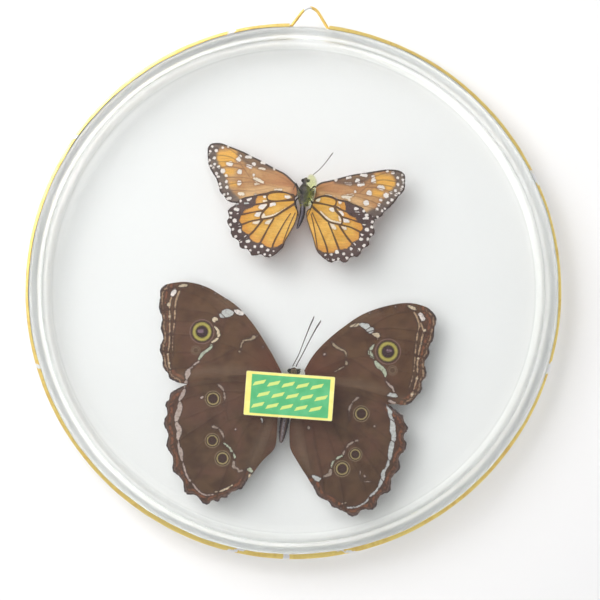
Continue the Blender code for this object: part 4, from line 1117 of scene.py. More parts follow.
def morpho_fore_under(recipe, scales):
    colour = lay(recipe, MORPHO_GROUND, rgb(99, 69, 43), scales, Dark=rgb(80, 50, 29),
                 Cloud=scales.outputs["Cloud"])
    colour = lay(recipe, MORPHO_EDGE, colour, scales, Pale=rgb(182, 150, 118), Pale_place=1.35,
                 Rust_place=2.7)
    colour = lay(recipe, GLOW, colour, scales, Amount=0.4, Soft=2.2)
    colour = add_eyespots(recipe, colour, scales, FAINT_RINGS, 1.05, "faint_eye")
    colour = add_eyespots(recipe, colour, scales, FORE_RINGS, 1.42)
    return lay(recipe, PALE_MARKS, colour, scales, Halo=0.6, **MORPHO_MARKS)


def morpho_hind_under(recipe, scales):
    colour = lay(recipe, MORPHO_GROUND, rgb(90, 64, 41), scales, Dark=rgb(70, 45, 27),
                 Cloud=scales.outputs["Cloud"])
    colour = lay(recipe, MORPHO_EDGE, colour, scales, Pale=rgb(120, 96, 84), Pale_place=1.05,
                 Rust_place=2.2)
    colour = lay(recipe, GLOW, colour, scales, Amount=0.4, Soft=2.2)
    colour = add_eyespots(recipe, colour, scales, HIND_RINGS, 1.1)
    return lay(recipe, PALE_MARKS, colour, scales, Halo=0.5, **MORPHO_MARKS)


def queen_fore_under(recipe, scales):
    """Tawny, rosy at the root, dusky along the leading edge, with a dark margin."""
    grain = scales.outputs["Grain"]
    cloud = recipe.step(scales.outputs["Cloud"], 0.32, 0.68)
    colour = recipe.mix(cloud, rgb(192, 138, 88), rgb(217, 170, 116))
    rosy = part_of(recipe, recipe.step(recipe.attribute("root"), 20.0, 4.0), 0.7)
    colour = recipe.mix(rosy, colour, rgb(186, 122, 80))
    colour = lay(recipe, GLOW, colour, scales, Amount=0.9)
    veins = recipe.step(ragged(recipe, recipe.attribute("vein"), grain, 0.2), 0.34, 0.06)
    seen = recipe.stretch(recipe.attribute("root"), 10.0, 24.0, 0.15, 0.5)
    colour = recipe.mix(recipe.math("MULTIPLY", veins, seen), colour, rgb(110, 76, 58))
    dusk = recipe.step(ragged(recipe, recipe.attribute("dusk"), grain, 0.8), 0.9, -0.7)
    colour = recipe.mix(part_of(recipe, dusk, 0.75), colour, rgb(92, 76, 70))
    margin = recipe.math("MULTIPLY_ADD", recipe.attribute("vein"), 0.25, recipe.attribute("margin"))
    edge = recipe.step(ragged(recipe, margin, grain, 1.0), 4.7, 3.2)
    colour = recipe.mix(edge, colour, recipe.mix(cloud, rgb(96, 80, 74), rgb(134, 116, 104)))
    rim = recipe.step(ragged(recipe, recipe.attribute("rim"), grain, 0.3), 0.9, 0.35)
    colour = recipe.mix(rim, colour, rgb(70, 56, 52))
    return lay(recipe, PALE_MARKS, colour, scales, **QUEEN_MARKS)


def queen_hind_under(recipe, scales):
    """Golden, with dark veins and a broad dark margin."""
    grain = scales.outputs["Grain"]
    cloud = recipe.step(scales.outputs["Cloud"], 0.32, 0.68)
    colour = recipe.mix(cloud, rgb(230, 168, 60), rgb(245, 192, 92))
    fray = recipe.math("MULTIPLY", recipe.math("SUBTRACT", scales.outputs["Fray"], 0.5), 0.9)
    margin = recipe.math("MULTIPLY_ADD", recipe.attribute("vein"), 0.35, recipe.attribute("margin"))
    margin = recipe.math("ADD", margin, fray)
    colour = recipe.mix(part_of(recipe, recipe.step(margin, 8.5, 5.2), 0.55), colour, rgb(220, 140, 56))
    veins = recipe.step(ragged(recipe, recipe.attribute("vein"), grain, 0.25), 0.2, 0.0)
    colour = recipe.mix(part_of(recipe, veins, 0.92), colour, rgb(84, 50, 40))
    edge = recipe.step(ragged(recipe, margin, grain, 0.6), 5.3, 4.8)
    colour = recipe.mix(edge, colour, recipe.mix(cloud, rgb(74, 54, 54), rgb(98, 76, 72)))
    colour = recipe.mix(recipe.step(recipe.attribute("rim"), 0.6, 0.2), colour, rgb(72, 54, 48))
    return lay(recipe, PALE_MARKS, colour, scales, **QUEEN_MARKS)


def queen_upper(recipe, scales):
    """Orange brown, with dark veins, rim and margin."""
    cloud = recipe.step(scales.outputs["Cloud"], 0.32, 0.68)
    colour = recipe.mix(cloud, rgb(176, 88, 34), rgb(196, 106, 44))
    veins = recipe.step(recipe.attribute("vein"), 0.3, 0.08)
    colour = recipe.mix(part_of(recipe, veins, 0.7), colour, rgb(66, 36, 24))
    edge = recipe.step(ragged(recipe, recipe.attribute("margin"), scales.outputs["Grain"], 0.8), 4.8, 3.6)
    colour = recipe.mix(edge, colour, rgb(40, 24, 20))
    colour = recipe.mix(recipe.step(recipe.attribute("rim"), 1.3, 0.6), colour, rgb(44, 28, 22))
    return lay(recipe, PALE_MARKS, colour, scales, Halo=0.3)


def morpho_upper_paint():
    """The blue upper side: a metallic sheen of scales, with a painted sheen that lightens the blue seen at a
    slant, black towards the edges and the root.

    Light that it throws on the pieces around it is a dull brown.
    """
    paint, recipe, shader = new_paint("morpho_upper", Roughness=0.38, Specular_IOR_Level=0.6)
    scales = recipe.group(WING_SCALES)
    # The blue turns lighter where the wing is seen at a slant: a painted sheen in the colour.
    facing = recipe.add("LayerWeight", {"Blend": 0.35}).outputs["Facing"]
    blue = recipe.mix(facing, (0.008, 0.07, 0.42), (0.015, 0.22, 0.60))
    cloud = recipe.stretch(scales.outputs["Cloud"], 0.3, 0.7, 0.0, 0.35)
    blue = recipe.mix(cloud, blue, (0.008, 0.035, 0.26))
    veins = recipe.step(recipe.attribute("vein"), 0.3, 0.05)
    blue = recipe.mix(part_of(recipe, veins, 0.7), blue, rgb(24, 20, 30))
    edge = recipe.step(ragged(recipe, recipe.attribute("margin"), scales.outputs["Grain"], 1.0), 6.2, 4.6)
    rim = recipe.step(recipe.attribute("rim"), 2.2, 1.0)
    root = recipe.step(recipe.attribute("root"), 9.0, 5.0)
    dark = recipe.math("MAXIMUM", recipe.math("MAXIMUM", edge, rim), root)
    bounced = recipe.add("LightPath").outputs["Is Diffuse Ray"]
    seen = recipe.mix(bounced, recipe.mix(dark, blue, rgb(34, 26, 26)), rgb(96, 88, 82))
    recipe.feed(shader.inputs["Base Color"], seen)
    recipe.feed(shader.inputs["Metallic"], recipe.stretch(dark, 0.0, 1.0, 0.65, 0.0))
    recipe.relief(shader, scales.outputs["Height"], 0.3, RELIEF_DEPTH)
    return paint


# Materials of the case, the bodies and the glue

def clear_paint(name, tint, shadow, roughness=0.0, density=0.0, depth=None, rim=None):
    """A clear material: plain transmission, and light passes it softly tinted instead of casting noise.

    The rim of the case is given as its roughness, the shadow it throws and a grey shade painted over its
    shoulder.
    """
    paint, recipe, shader = new_paint(name, Base_Color=tint, Roughness=roughness, IOR=1.5,
                                      Transmission_Weight=1.0)
    if rim:
        rim_roughness, rim_shadow, shoulder_painted_shade = rim
        flat = recipe.add("VectorMath", {0: recipe.place((1.0, 0.0, 1.0))}, operation="LENGTH")
        radius = flat.outputs["Value"]
        rough = part_of(recipe, recipe.step(radius, 90.0, 93.0), rim_roughness)
        recipe.feed(shader.inputs["Roughness"], rough)
        shadow = recipe.mix(recipe.step(radius, 95.4, 96.2), shadow, rim_shadow)
        # A grey band over the shoulder, full from 91.9 to 95 mm and gone by 98.5 mm: painted shade in the
        # clear glass's colour, for the dark line that light bent in the thick rim makes.
        shoulder = recipe.math("MULTIPLY", recipe.step(radius, 91.3, 91.9), recipe.step(radius, 98.5, 95.0))
        recipe.feed(shader.inputs["Base Color"], recipe.mix(shoulder, tint, shoulder_painted_shade))
    rays = recipe.add("LightPath").outputs
    soft = recipe.add("BsdfTransparent", {"Color": shadow}).outputs[0]
    seen = shader.outputs[0]
    for kind in ("Is Diffuse Ray", "Is Shadow Ray"):
        either = recipe.add("MixShader")
        for socket, value in zip(either.inputs, (rays[kind], seen, soft)):
            recipe.feed(socket, value)
        seen = either.outputs[0]
    output = paint.node_tree.nodes["Material Output"]
    recipe.feed(output.inputs["Surface"], seen)
    if density:
        volume = recipe.add("VolumeAbsorption", {"Color": depth, "Density": density})
        recipe.feed(output.inputs["Volume"], volume.outputs[0])
    return paint


def gilt_paint(name, gold, roughness):
    """Gilt metal, tarnished in clouds and rubbed to silver where the piece's wear says so."""
    paint, recipe, shader = new_paint(name, Metallic=1.0)
    wear = recipe.group(GILT_WEAR, {"Amount": recipe.attribute("wear")})
    colour = recipe.mix(part_of(recipe, wear.outputs["Tarnish"], 0.4), gold, rgb(196, 146, 72))
    colour = recipe.mix(wear.outputs["Silver"], colour, rgb(244, 243, 244))
    recipe.feed(shader.inputs["Base Color"], colour)
    rough = recipe.math("MULTIPLY_ADD", wear.outputs["Tarnish"], 0.16, roughness)
    recipe.feed(shader.inputs["Roughness"], rough)
    recipe.relief(shader, wear.outputs["Height"], 0.5, 0.04)
    return paint


def label_paint():
    """Printed paper: a green field in a yellow border, with slanting dashes."""
    paint, recipe, shader = new_paint("label_print", Roughness=0.55, Specular_IOR_Level=0.35)
    fibres = recipe.noise(0.35, detail=4.0, rough=0.7)
    blotch = recipe.noise(5.0, detail=3.0)
    green = recipe.mix(recipe.step(blotch, 0.35, 0.7), rgb(80, 170, 112), rgb(96, 182, 126))
    border = recipe.mix(recipe.step(blotch, 0.4, 0.65), rgb(230, 222, 124), rgb(236, 230, 140))
    ragged_field = recipe.math("MULTIPLY_ADD", fibres, 0.16, recipe.attribute("field"))
    colour = recipe.mix(recipe.step(ragged_field, 0.04, 0.14), border, green)
    ragged_ink = recipe.math("MULTIPLY_ADD", fibres, 0.14, recipe.attribute("dash"))
    colour = recipe.mix(recipe.step(ragged_ink, 0.12, 0.02), colour, rgb(200, 216, 124))
    worn = recipe.math("MULTIPLY_ADD", fibres, 0.6, recipe.attribute("rim"))
    colour = recipe.mix(recipe.step(worn, 0.52, 0.3), colour, rgb(226, 214, 168))
    recipe.feed(shader.inputs["Base Color"], colour)
    recipe.relief(shader, fibres, 0.25, 0.03)
    return paint


def skin_paint(name, dark, light, size=1.2):
    paint, recipe, shader = new_paint(name, Roughness=0.7, Specular_IOR_Level=0.25)
    cloud = recipe.step(recipe.noise(size, detail=4.0, rough=0.65), 0.32, 0.68)
    recipe.feed(shader.inputs["Base Color"], recipe.mix(cloud, dark, light))
    return paint


def fur_paint(name, dark, middle, bright):
    """Hair whose own tone runs from dark at 0 through the middle to bright at 1."""
    paint, recipe, shader = new_paint(name, Roughness=0.75, Specular_IOR_Level=0.25)
    colour = recipe.ramp(recipe.attribute("tone"), (0.0, dark), (0.5, middle), (1.0, bright))
    recipe.feed(shader.inputs["Base Color"], colour)
    return paint


def abdomen_paint(name, dark, light, lilac):
    """A soft abdomen with lengthwise stripes."""
    paint, recipe, shader = new_paint(name, Roughness=0.7, Specular_IOR_Level=0.25)
    grain = recipe.noise(0.5, detail=4.0, rough=0.7)
    stripe = recipe.math("MULTIPLY_ADD", grain, 0.16, recipe.attribute("stripe"))
    colour = recipe.ramp(stripe, (0.08, dark), (0.26, dark), (0.36, light), (0.46, lilac), (0.62, lilac),
                         (0.74, light), (0.9, dark))
    recipe.feed(shader.inputs["Base Color"], recipe.mix(recipe.step(grain, 0.42, 0.7), colour, dark))
    recipe.relief(shader, grain, 0.6, 0.08)
    return paint


MORPHO_UPPER = morpho_upper_paint()
QUEEN_UPPER = wing_paint("queen_upper", queen_upper)
WING_PAINTS = {
    "morpho_fore": [wing_paint("morpho_fore_under", morpho_fore_under), MORPHO_UPPER],
    "morpho_hind": [wing_paint("morpho_hind_under", morpho_hind_under), MORPHO_UPPER],
    "queen_fore": [wing_paint("queen_fore_under", queen_fore_under), QUEEN_UPPER],
    "queen_hind": [wing_paint("queen_hind_under", queen_hind_under), QUEEN_UPPER]}
# The last rim value is the grey of the shade painted over the glass shoulder.
GLASS = clear_paint("pressed_glass", (0.995, 1.0, 0.998), (0.996, 0.998, 0.997), density=5.0,
                    depth=(0.20, 0.36, 0.28), rim=(0.28, (0.8, 0.8, 0.8), (0.952, 0.963, 0.956)))
GLUES = {
    "morpho_glue": clear_paint("clear_glue", (0.97, 0.97, 0.90), (0.98, 0.97, 0.92), roughness=0.12,
                               density=250.0, depth=(0.8, 0.8, 0.3)),
    "queen_glue": clear_paint("yellowed_glue", (0.96, 0.98, 0.84), (0.98, 0.99, 0.90), roughness=0.1,
                              density=1300.0, depth=(0.80, 0.87, 0.12))}
BAND_GILT = gilt_paint("gilt_strip", rgb(252, 226, 138), 0.3)
WIRE_GILT = gilt_paint("gilt_wire", rgb(246, 210, 118), 0.32)
# The inside of the strip is near white. It is made light so that the channel, which little light reaches,
# reads pale through the glass rim: painted light.
STRIP_INSIDE = new_paint("strip_inside", Base_Color=rgb(232, 234, 229), Roughness=0.8)[0]
LABEL_PRINT = label_paint()
EYE = new_paint("compound_eye", Base_Color=rgb(36, 26, 22), Roughness=0.22)[0]
FURS = {
    "morpho": fur_paint("morpho_fur", rgb(88, 70, 58), rgb(142, 120, 98), rgb(186, 166, 138)),
    "queen": fur_paint("queen_fur", rgb(58, 54, 60), rgb(116, 110, 116), rgb(186, 178, 70))}
SKINS = {
    "morpho": skin_paint("morpho_skin", rgb(60, 46, 40), rgb(96, 76, 62)),
    "queen": skin_paint("queen_skin", rgb(48, 44, 40), rgb(92, 84, 60))}
ABDOMENS = {
    "morpho": abdomen_paint("morpho_abdomen", rgb(52, 40, 46), rgb(104, 82, 66), rgb(126, 118, 124)),
    "queen": abdomen_paint("queen_abdomen", rgb(42, 38, 42), rgb(70, 60, 60), rgb(104, 98, 110))}
LIMBS = {
    "morpho": skin_paint("morpho_limb", rgb(88, 74, 62), rgb(128, 112, 94), 0.7),
    "queen": skin_paint("queen_limb", rgb(26, 24, 26), rgb(52, 48, 48), 0.7)}
THREADS = {
    "morpho": skin_paint("morpho_thread", rgb(60, 52, 52), rgb(92, 82, 78), 0.7),
    "queen": skin_paint("queen_thread", rgb(92, 88, 86), rgb(124, 120, 118), 0.7)}


# Case pieces

def turn_profile(profile, facing):
    """Turn (radius, height) points round the case's axis; the first and last lie on the axis."""
    turns = 2 * math.pi * np.arange(GLASS_STEPS) / GLASS_STEPS
    ripple = np.sin(5 * turns + 0.4) + 0.6 * np.sin(11 * turns + 2.0) + 0.4 * np.sin(23 * turns)
    rows = []
    for radius, height in profile[1:-1]:
        out = radius + GLASS_WAVE * np.clip((radius - 88) / 5, 0, 1) * (height > 4) * ripple
        y = np.full(GLASS_STEPS, SEAM_Y + facing * height)
        rows.append(np.column_stack([out * np.cos(turns), y, out * np.sin(turns)]))
    points = np.vstack(rows)
    faces = grid_faces(len(rows), GLASS_STEPS, wrap=True)
    for (_, height), start in ((profile[0], 0), (profile[-1], (len(rows) - 1) * GLASS_STEPS)):
        centre = len(points)
        points = np.vstack([points, [0.0, SEAM_Y + facing * height, 0.0]])
        faces += [(start + j, start + (j + 1) % GLASS_STEPS, centre) for j in range(GLASS_STEPS)]
    return points, faces


def arc(centre, radius, start, end, steps):
    turns = np.radians(np.linspace(start, end, steps + 1))
    return [(centre[0] + radius * math.cos(t), centre[1] + radius * math.sin(t)) for t in turns]


def shell_profile():
    """Half section of a glass shell, heights counted from the seam plane outwards."""
    height = CASE_DEPTH / 2
    inner = height - PLATE_THICKNESS
    outer_centre = (WALL_OUTER_RADIUS - SHOULDER_RADIUS, height - SHOULDER_RADIUS)
    inner_centre = (WALL_INNER_RADIUS - INNER_SHOULDER_RADIUS, inner - INNER_SHOULDER_RADIUS)
    seam = 0.15
    fillet = arc((WALL_OUTER_RADIUS + 0.5, FLANGE_DEPTH + 0.5), 0.5, 180, 270, 4)
    return ([(0, height), (25, height), (60, height), (85, height), (90, height)]
            + arc(outer_centre, SHOULDER_RADIUS, 90, 0, 14)
            + fillet + [(FLANGE_RADIUS - 0.15, FLANGE_DEPTH), (FLANGE_RADIUS, FLANGE_DEPTH - 0.1),
                        (FLANGE_RADIUS, seam + GROOVE), (FLANGE_RADIUS - GROOVE, seam),
                        (WALL_INNER_RADIUS + 0.3, seam), (WALL_INNER_RADIUS, seam + 0.3)]
            + arc(inner_centre, INNER_SHOULDER_RADIUS, 0, 90, 10)
            + [(88, inner), (60, inner), (25, inner), (0, inner)])


def make_glass():
    """The two shells, alike, one towards the camera and one towards the wall."""
    for node, facing in (("glass_front", -1), ("glass_back", 1)):
        show(node + "_shell", turn_profile(shell_profile(), facing), [GLASS], node, 40.0)


def bump_at(angles, centre, width):
    """1 at an angle in degrees, falling to 0 over a width."""
    away = np.abs((angles - centre + 180) % 360 - 180)
    return np.exp(-(away / width) ** 2)


# Places on the band rubbed to silver: the angle, the spread in degrees, and degrees of slant for a millimetre
WORN_SPOTS = [(107, 1.3, 0.3), (261, 1.8, 1.5), (272, 1.2, 0.1), (285, 1.5, -1.6), (29, 2.6, 0.5),
              (-13.5, 2.2, -0.4), (200, 0.8, 0.5), (148, 0.7, -0.4)]


def make_band():
    """A strip folded to a channel over both flanges: lip, crowned outside, lip, open at the top."""
    gap = math.degrees(math.asin(BAND_OPENING / 2 / CASE_RADIUS))
    inner = CASE_RADIUS - BAND_SHEET
    half = BAND_HALF_WIDTH
    crown = [(CASE_RADIUS - inset, half - drop) for inset, drop in BAND_CROWN]
    crown += [(radius, -out) for radius, out in reversed(crown)]
    back_lip = [(BAND_BACK_LIP + 0.1, -half), (BAND_BACK_LIP, 0.12 - half), (BAND_BACK_LIP, 0.45 - half)]
    rows, wear = [], []
    for angle in np.linspace(90 + gap, 450 - gap, BAND_STEPS):
        turn = math.radians(angle)
        reach = 1.2 + 0.75 * bump_at(angle, 270, 48) + 0.15 * bump_at(angle, 90, 40)
        reach -= 0.2 * bump_at(angle, 0, 40)
        reach += 0.10 * math.sin(9 * turn + 1) + 0.06 * math.sin(31 * turn)
        lip = CASE_RADIUS - max(0.9, reach)
        dent = 0.03 * math.sin(17 * turn + 2) + 0.02 * math.sin(53 * turn)
        section = [(lip, half - 0.12), (lip + 0.12, half), (inner - 0.1, half), *crown, *back_lip]
        inside_from = len(section) - 2
        section += [(inner, 0.5 - half), (inner, half - 0.5), (lip, half - 0.45)]
        for radius, out in section:
            dented = min(radius + dent, CASE_RADIUS)
            rows.append((dented * math.cos(turn), SEAM_Y - out, dented * math.sin(turn)))
            worn = [bump_at(angle + slant * (radius - 99), centre, width)
                    for centre, width, slant in WORN_SPOTS]
            wear.append(0.1 + 0.5 * max(worn))
    columns = len(section)
    within = [k % columns >= inside_from for k in range((BAND_STEPS - 1) * columns)] + [False, False]
    show("rim_band_strip", (rows, capped_faces(BAND_STEPS, columns)), [BAND_GILT, STRIP_INSIDE],
         "rim_band", 38.0, {"wear": wear}, within)


def make_loop():
    """The wire triangle, from the foot under one end of the band round to the other."""
    foot = np.linspace(FOOT_REACH, LOOP_LEG[0][0] + 0.8, 8)
    right = [(x, math.sqrt(WIRE_TRACK_RADIUS ** 2 - x ** 2)) for x in foot] + LOOP_LEG
    left = [(-x, z) for x, z in reversed(right[:-1])]
    path = [(x, SEAM_Y, z) for x, z in smooth_path(right + left, 6)]
    points, faces = tube(path, [WIRE_RADIUS] * len(path), 20)
    from_spot = ((points[:, 0] + 1.2) / 2.2) ** 2 + ((points[:, 2] - 105.6) / 1.8) ** 2
    wear = 0.12 + 0.55 * np.exp(-from_spot)
    show("hanging_loop_wire", (points, faces), [WIRE_GILT], "hanging_loop",
         values={"wear": wear})


def drawn_in(place, half, share):
    """Places along one side of the label; those in its rounded corners are drawn in to a share."""
    flat = half - LABEL_CORNER
    return np.sign(place) * (np.minimum(np.abs(place), flat) + np.clip(np.abs(place) - flat, 0, None) * share)


def make_label():
    """A sheet of paper with two corners just lifting, its border and dashes given as distances."""
    half_x, half_z = LABEL_SIZE[0] / 2, LABEL_SIZE[1] / 2
    across = np.linspace(-half_x, half_x, 219)
    up = np.linspace(-half_z, half_z, 109)
    x, z = [grid.ravel() for grid in np.meshgrid(across, up)]
    edge = np.minimum(half_x - np.abs(x), half_z - np.abs(z))
    corner = np.hypot(np.clip(np.abs(x) - half_x + LABEL_CORNER, 0, 1),
                      np.clip(np.abs(z) - half_z + LABEL_CORNER, 0, 1))
    share = LABEL_CORNER / np.maximum(corner, LABEL_CORNER)
    bent_x, bent_z = drawn_in(x, half_x, share), drawn_in(z, half_z, share)
    lift = 0.2 * np.exp(-((x - half_x) ** 2 + (z + half_z) ** 2) / 5.0)
    lift += 0.12 * np.exp(-((x + half_x) ** 2 + (z - half_z) ** 2) / 4.0)
    lift += 0.02 * np.sin(0.9 * x) * np.sin(0.7 * z)
    field = np.minimum.reduce([half_x + x - LABEL_BORDER["left"], half_x - x - LABEL_BORDER["right"],
                               half_z - z - LABEL_BORDER["top"], half_z + z - LABEL_BORDER["bottom"]])
    dash = np.full(len(x), OUT_OF_REACH)
    for row in range(DASH_ROWS):
        for place in range(DASHES_IN_A_ROW):
            shift = DASH_SHIFT if row % 2 else -DASH_SHIFT
            right = x - (DASH_START_X + DASH_STEP[0] * place + shift)
            above = z - DASH_STEP[1] * (1 - row)
            aside = np.abs(right - DASH_LEAN * above) - DASH_HALF[0]
            dash = np.minimum(dash, np.maximum(aside, np.abs(above - DASH_CLIMB * right) - DASH_HALF[1]))
    turn_cos, turn_sin = math.cos(LABEL_TURN), math.sin(LABEL_TURN)
    place_x = LABEL_CENTRE[0] + bent_x * turn_cos - bent_z * turn_sin
    place_z = LABEL_CENTRE[1] + bent_x * turn_sin + bent_z * turn_cos
    back = np.column_stack([place_x, LABEL_BACK_Y - lift, place_z])
    front = back - (0, LABEL_THICKNESS, 0)
    faces = sheet_faces(grid_faces(len(up), len(across)), len(back))
    values = {"rim": edge, "field": field, "dash": dash}
    show("paper_label_sheet", (np.vstack([back, front]), faces), [LABEL_PRINT], "paper_label",
         50.0, on_both_sides(values))


# Insects

def loft(stations, sides):
    """Points and faces of a closed body through elliptical sections (x, y, z, across, deep)."""
    turns = 2 * math.pi * np.arange(sides) / sides
    rows = [np.column_stack([x + across * np.cos(turns), y + deep * np.sin(turns), np.full(sides, z)])
            for x, y, z, across, deep in stations]
    return np.vstack(rows), capped_faces(len(rows), sides)


def ball(centre, radius):
    """Points and faces of a small ball."""
    x, y, z = centre
    tilts = math.pi * np.arange(1, BALL_SIDES // 2) / (BALL_SIDES // 2)
    sections = [(x, y, z + radius * math.cos(t), radius * math.sin(t), radius * math.sin(t)) for t in tilts]
    return loft(sections, BALL_SIDES)


def blade(foot, tip, width, bend):
    """A hair as a closed three-sided blade from foot to tip."""
    along = tip - foot
    side = unit(np.cross(along, bend))
    other = unit(np.cross(along, side))
    points = []
    for share, size in ((0.0, 1.0), (0.55, 0.7)):
        middle = foot + along * share + bend * (share * (1 - share))
        for k in range(3):
            turn = 2 * math.pi * k / 3
            points.append(middle + width * size * (math.cos(turn) * side + math.sin(turn) * other))
    points.append(tip)
    return points, [(2, 1, 0), (0, 1, 4, 3), (1, 2, 5, 4), (2, 0, 3, 5), (3, 4, 6), (4, 5, 6), (5, 3, 6)]


def fur_tone(kind, x, z):
    """How light a body's hair is at a place: a queen's is slate, with olive gold at its sides and below."""
    if kind == "morpho":
        return 0.5
    right = min(max((x - 2.7) / 1.0, 0.0), 1.0)
    below = min(max((34.6 - z) / 1.6, 0.0), 1.0)
    left = 0.55 * min(max((1.0 - x) / 0.8, 0.0), 1.0)
    return 0.28 + 0.62 * max(right, below, left)


def make_fur(kind, place, start_z, end_z, count, length, width, seed):
    """Hairs that leave a body's core and end at its CAD surface."""
    random = np.random.default_rng(seed)
    table = np.array(sorted(BODIES[kind], key=lambda station: station[2]))

    def section(z):
        return [np.interp(z, table[:, 2], table[:, k]) for k in (0, 1, 3, 4)]

    parts, tones = [], []
    for _ in range(count):
        z = random.uniform(end_z, start_z)
        turn = random.uniform(0, 2 * math.pi)
        x, y, across, deep = section(z)
        out = unit(np.array([math.cos(turn) * deep, math.sin(turn) * across, 0.0]))
        foot = np.array([x + FUR_CORE * across * math.cos(turn), y + FUR_CORE * deep * math.sin(turn), z])
        back_z = z - length * random.uniform(0.5, 1.0)
        x, y, across, deep = section(back_z)
        swing = turn + random.uniform(-0.25, 0.25)
        reach = random.uniform(0.9, 1.0)
        tip = np.array([x + reach * across * math.cos(swing), y + reach * deep * math.sin(swing), back_z])
        parts.append(blade(foot, tip, width * random.uniform(0.7, 1.2), out * 0.25))
        tone = fur_tone(kind, foot[0], z) + random.normal() * 0.2
        tones += [min(max(tone, 0.0), 1.0)] * len(parts[-1][0])
    node = kind + "_body"
    show(f"{node}_{place}_fur", joined(parts), [FURS[kind]], node, values={"tone": tones})


# Sections (x, y, z, across, deep) of the bodies, from head to tail
BODIES = {
    "morpho": [
        (2.0, -15.2, -28.3, 0.5, 0.5), (2.0, -15.2, -28.8, 1.5, 1.3), (2.0, -15.2, -29.8, 1.9, 1.6),
        (1.9, -15.1, -31.0, 1.5, 1.4), (1.8, -15.0, -31.6, 1.6, 1.6), (1.6, -15.0, -32.6, 2.9, 2.8),
        (1.4, -15.0, -34.2, 3.5, 3.3), (1.3, -15.0, -36.0, 3.6, 3.4), (1.1, -15.0, -38.2, 3.3, 3.1),
        (0.9, -14.9, -40.2, 2.4, 2.5), (0.7, -14.8, -41.6, 1.8, 1.9), (0.3, -14.7, -44.0, 1.9, 2.2),
        (-0.2, -14.6, -47.5, 1.8, 2.1), (-0.6, -14.5, -51.0, 1.6, 1.8), (-0.9, -14.4, -54.0, 1.2, 1.4),
        (-1.1, -14.3, -55.8, 0.8, 0.9), (-1.2, -14.3, -56.6, 0.3, 0.35)],
    "queen": [
        (2.3, -15.8, 42.3, 0.4, 0.4), (2.3, -15.8, 41.9, 1.1, 1.0), (2.2, -15.8, 41.1, 1.45, 1.25),
        (2.1, -15.8, 40.2, 1.15, 1.1), (2.0, -15.8, 39.7, 1.2, 1.2), (2.0, -15.8, 38.9, 2.2, 2.0),
        (1.9, -15.8, 37.6, 2.7, 2.5), (1.9, -15.8, 36.2, 2.8, 2.6), (1.8, -15.8, 34.4, 2.4, 2.3),
        (1.7, -15.7, 32.8, 1.6, 1.7), (1.6, -15.7, 31.8, 1.1, 1.3), (1.6, -15.6, 30.2, 1.1, 1.5),
        (1.45, -15.5, 28.2, 1.05, 1.5), (1.0, -15.4, 26.2, 0.95, 1.3), (0.5, -15.3, 24.6, 0.75, 1.0),
        (0.15, -15.2, 23.6, 0.45, 0.6), (0.0, -15.2, 23.1, 0.2, 0.25)]}
ABDOMEN_FROM = 10
ABDOMEN_RING = {"morpho": 1.9, "queen": 1.25}
FUR_CORE = 0.8
SPINES = 26
BODY_SIDES = 40
BALL_SIDES = 24
FUR_COUNT = {"morpho": 2600, "queen": 1800}

# Where each kind's eyes are: the head's middle x, how far they stand aside, y, z and radius
EYES = {"morpho": (2.0, 1.45, -15.5, -29.7, 1.0), "queen": (2.2, 1.05, -16.0, 41.1, 0.75)}


def make_body(kind):
    """Head and thorax with fur, a ringed and striped abdomen, and the two eyes."""
    node = kind + "_body"
    stations = BODIES[kind]
    fine = smooth_path(stations[:ABDOMEN_FROM + 1], 6)
    core = np.where(fine[:, 2:3] > fine[-1, 2] + 0.01, 0.84, 0.97)
    front = np.column_stack([fine[:, :3], fine[:, 3:] * core])
    show(node + "_thorax", loft(front, BODY_SIDES), [SKINS[kind]], node)

    fine = smooth_path(stations[ABDOMEN_FROM - 1:], 12)
    rings = 1.0 - 0.05 * np.abs(np.cos((fine[0, 2] - fine[:, 2]) / ABDOMEN_RING[kind] * math.pi)) ** 6
    tail = np.column_stack([fine[:, :3], fine[:, 3:] * 0.97 * rings[:, None]])
    points, faces = loft(tail, BODY_SIDES)
    centre = np.interp(points[:, 2], tail[::-1, 2], tail[::-1, 0])
    across = np.interp(points[:, 2], tail[::-1, 2], tail[::-1, 3])
    stripe = 0.5 + 0.5 * (points[:, 0] - centre) / np.maximum(across, 0.05)
    show(node + "_abdomen", (points, faces), [ABDOMENS[kind]], node, values={"stripe": stripe})

    head_x, offset, eye_y, eye_z, radius = EYES[kind]
    pair = [ball((head_x + side * offset, eye_y, eye_z), radius) for side in (-1, 1)]
    show(node + "_eyes", joined(pair), [EYE], node)

    top_z, head_z, thorax_z = stations[1][2] - 0.1, stations[4][2], stations[9][2]
    hairs = FUR_COUNT[kind]
    make_fur(kind, "head", top_z, head_z, hairs // 4, 0.8, 0.035, 11)
    make_fur(kind, "thorax", head_z, thorax_z, hairs, 1.9, 0.045, 12)


def make_antenna(node, points, paint):
    """A ringed thread that swells to a club."""
    fine = smooth_path(points, 14)
    radii = fine[:, 3] * (1 + 0.10 * np.sin(run_along(fine[:, :3]) / 0.32 * math.pi))
    show(node + "_thread", tube(fine[:, :3], radii * 0.95, 12), [paint], node)


def make_leg(node, points, paint, seed):
    """A folded leg: thick femur, tibia with spines, thin tarsus."""
    random = np.random.default_rng(seed)
    fine = smooth_path(points, 10)
    run = run_along(fine)
    share = run / run[-1]
    radii = np.interp(share, [0, 0.25, 0.4, 0.55, 0.7, 0.97, 1.0], [0.27, 0.28, 0.2, 0.22, 0.14, 0.11, 0.05])
    parts = [tube(fine, radii * (1 + 0.06 * np.sin(share * 60)), 12)]
    for _ in range(SPINES):
        at = random.uniform(0.3, 0.96)
        middle, next_place = [np.array([np.interp(place, share, fine[:, i]) for i in range(3)])
                              for place in (at, min(at + 0.05, 1))]
        ahead = unit(next_place - middle)
        sideways = unit(np.cross(ahead, random.normal(size=3)))
        parts.append(blade(middle, middle + sideways * 0.29 + ahead * 0.3, 0.03, ahead * 0.05))
    show(node + "_limb", joined(parts), [paint], node)


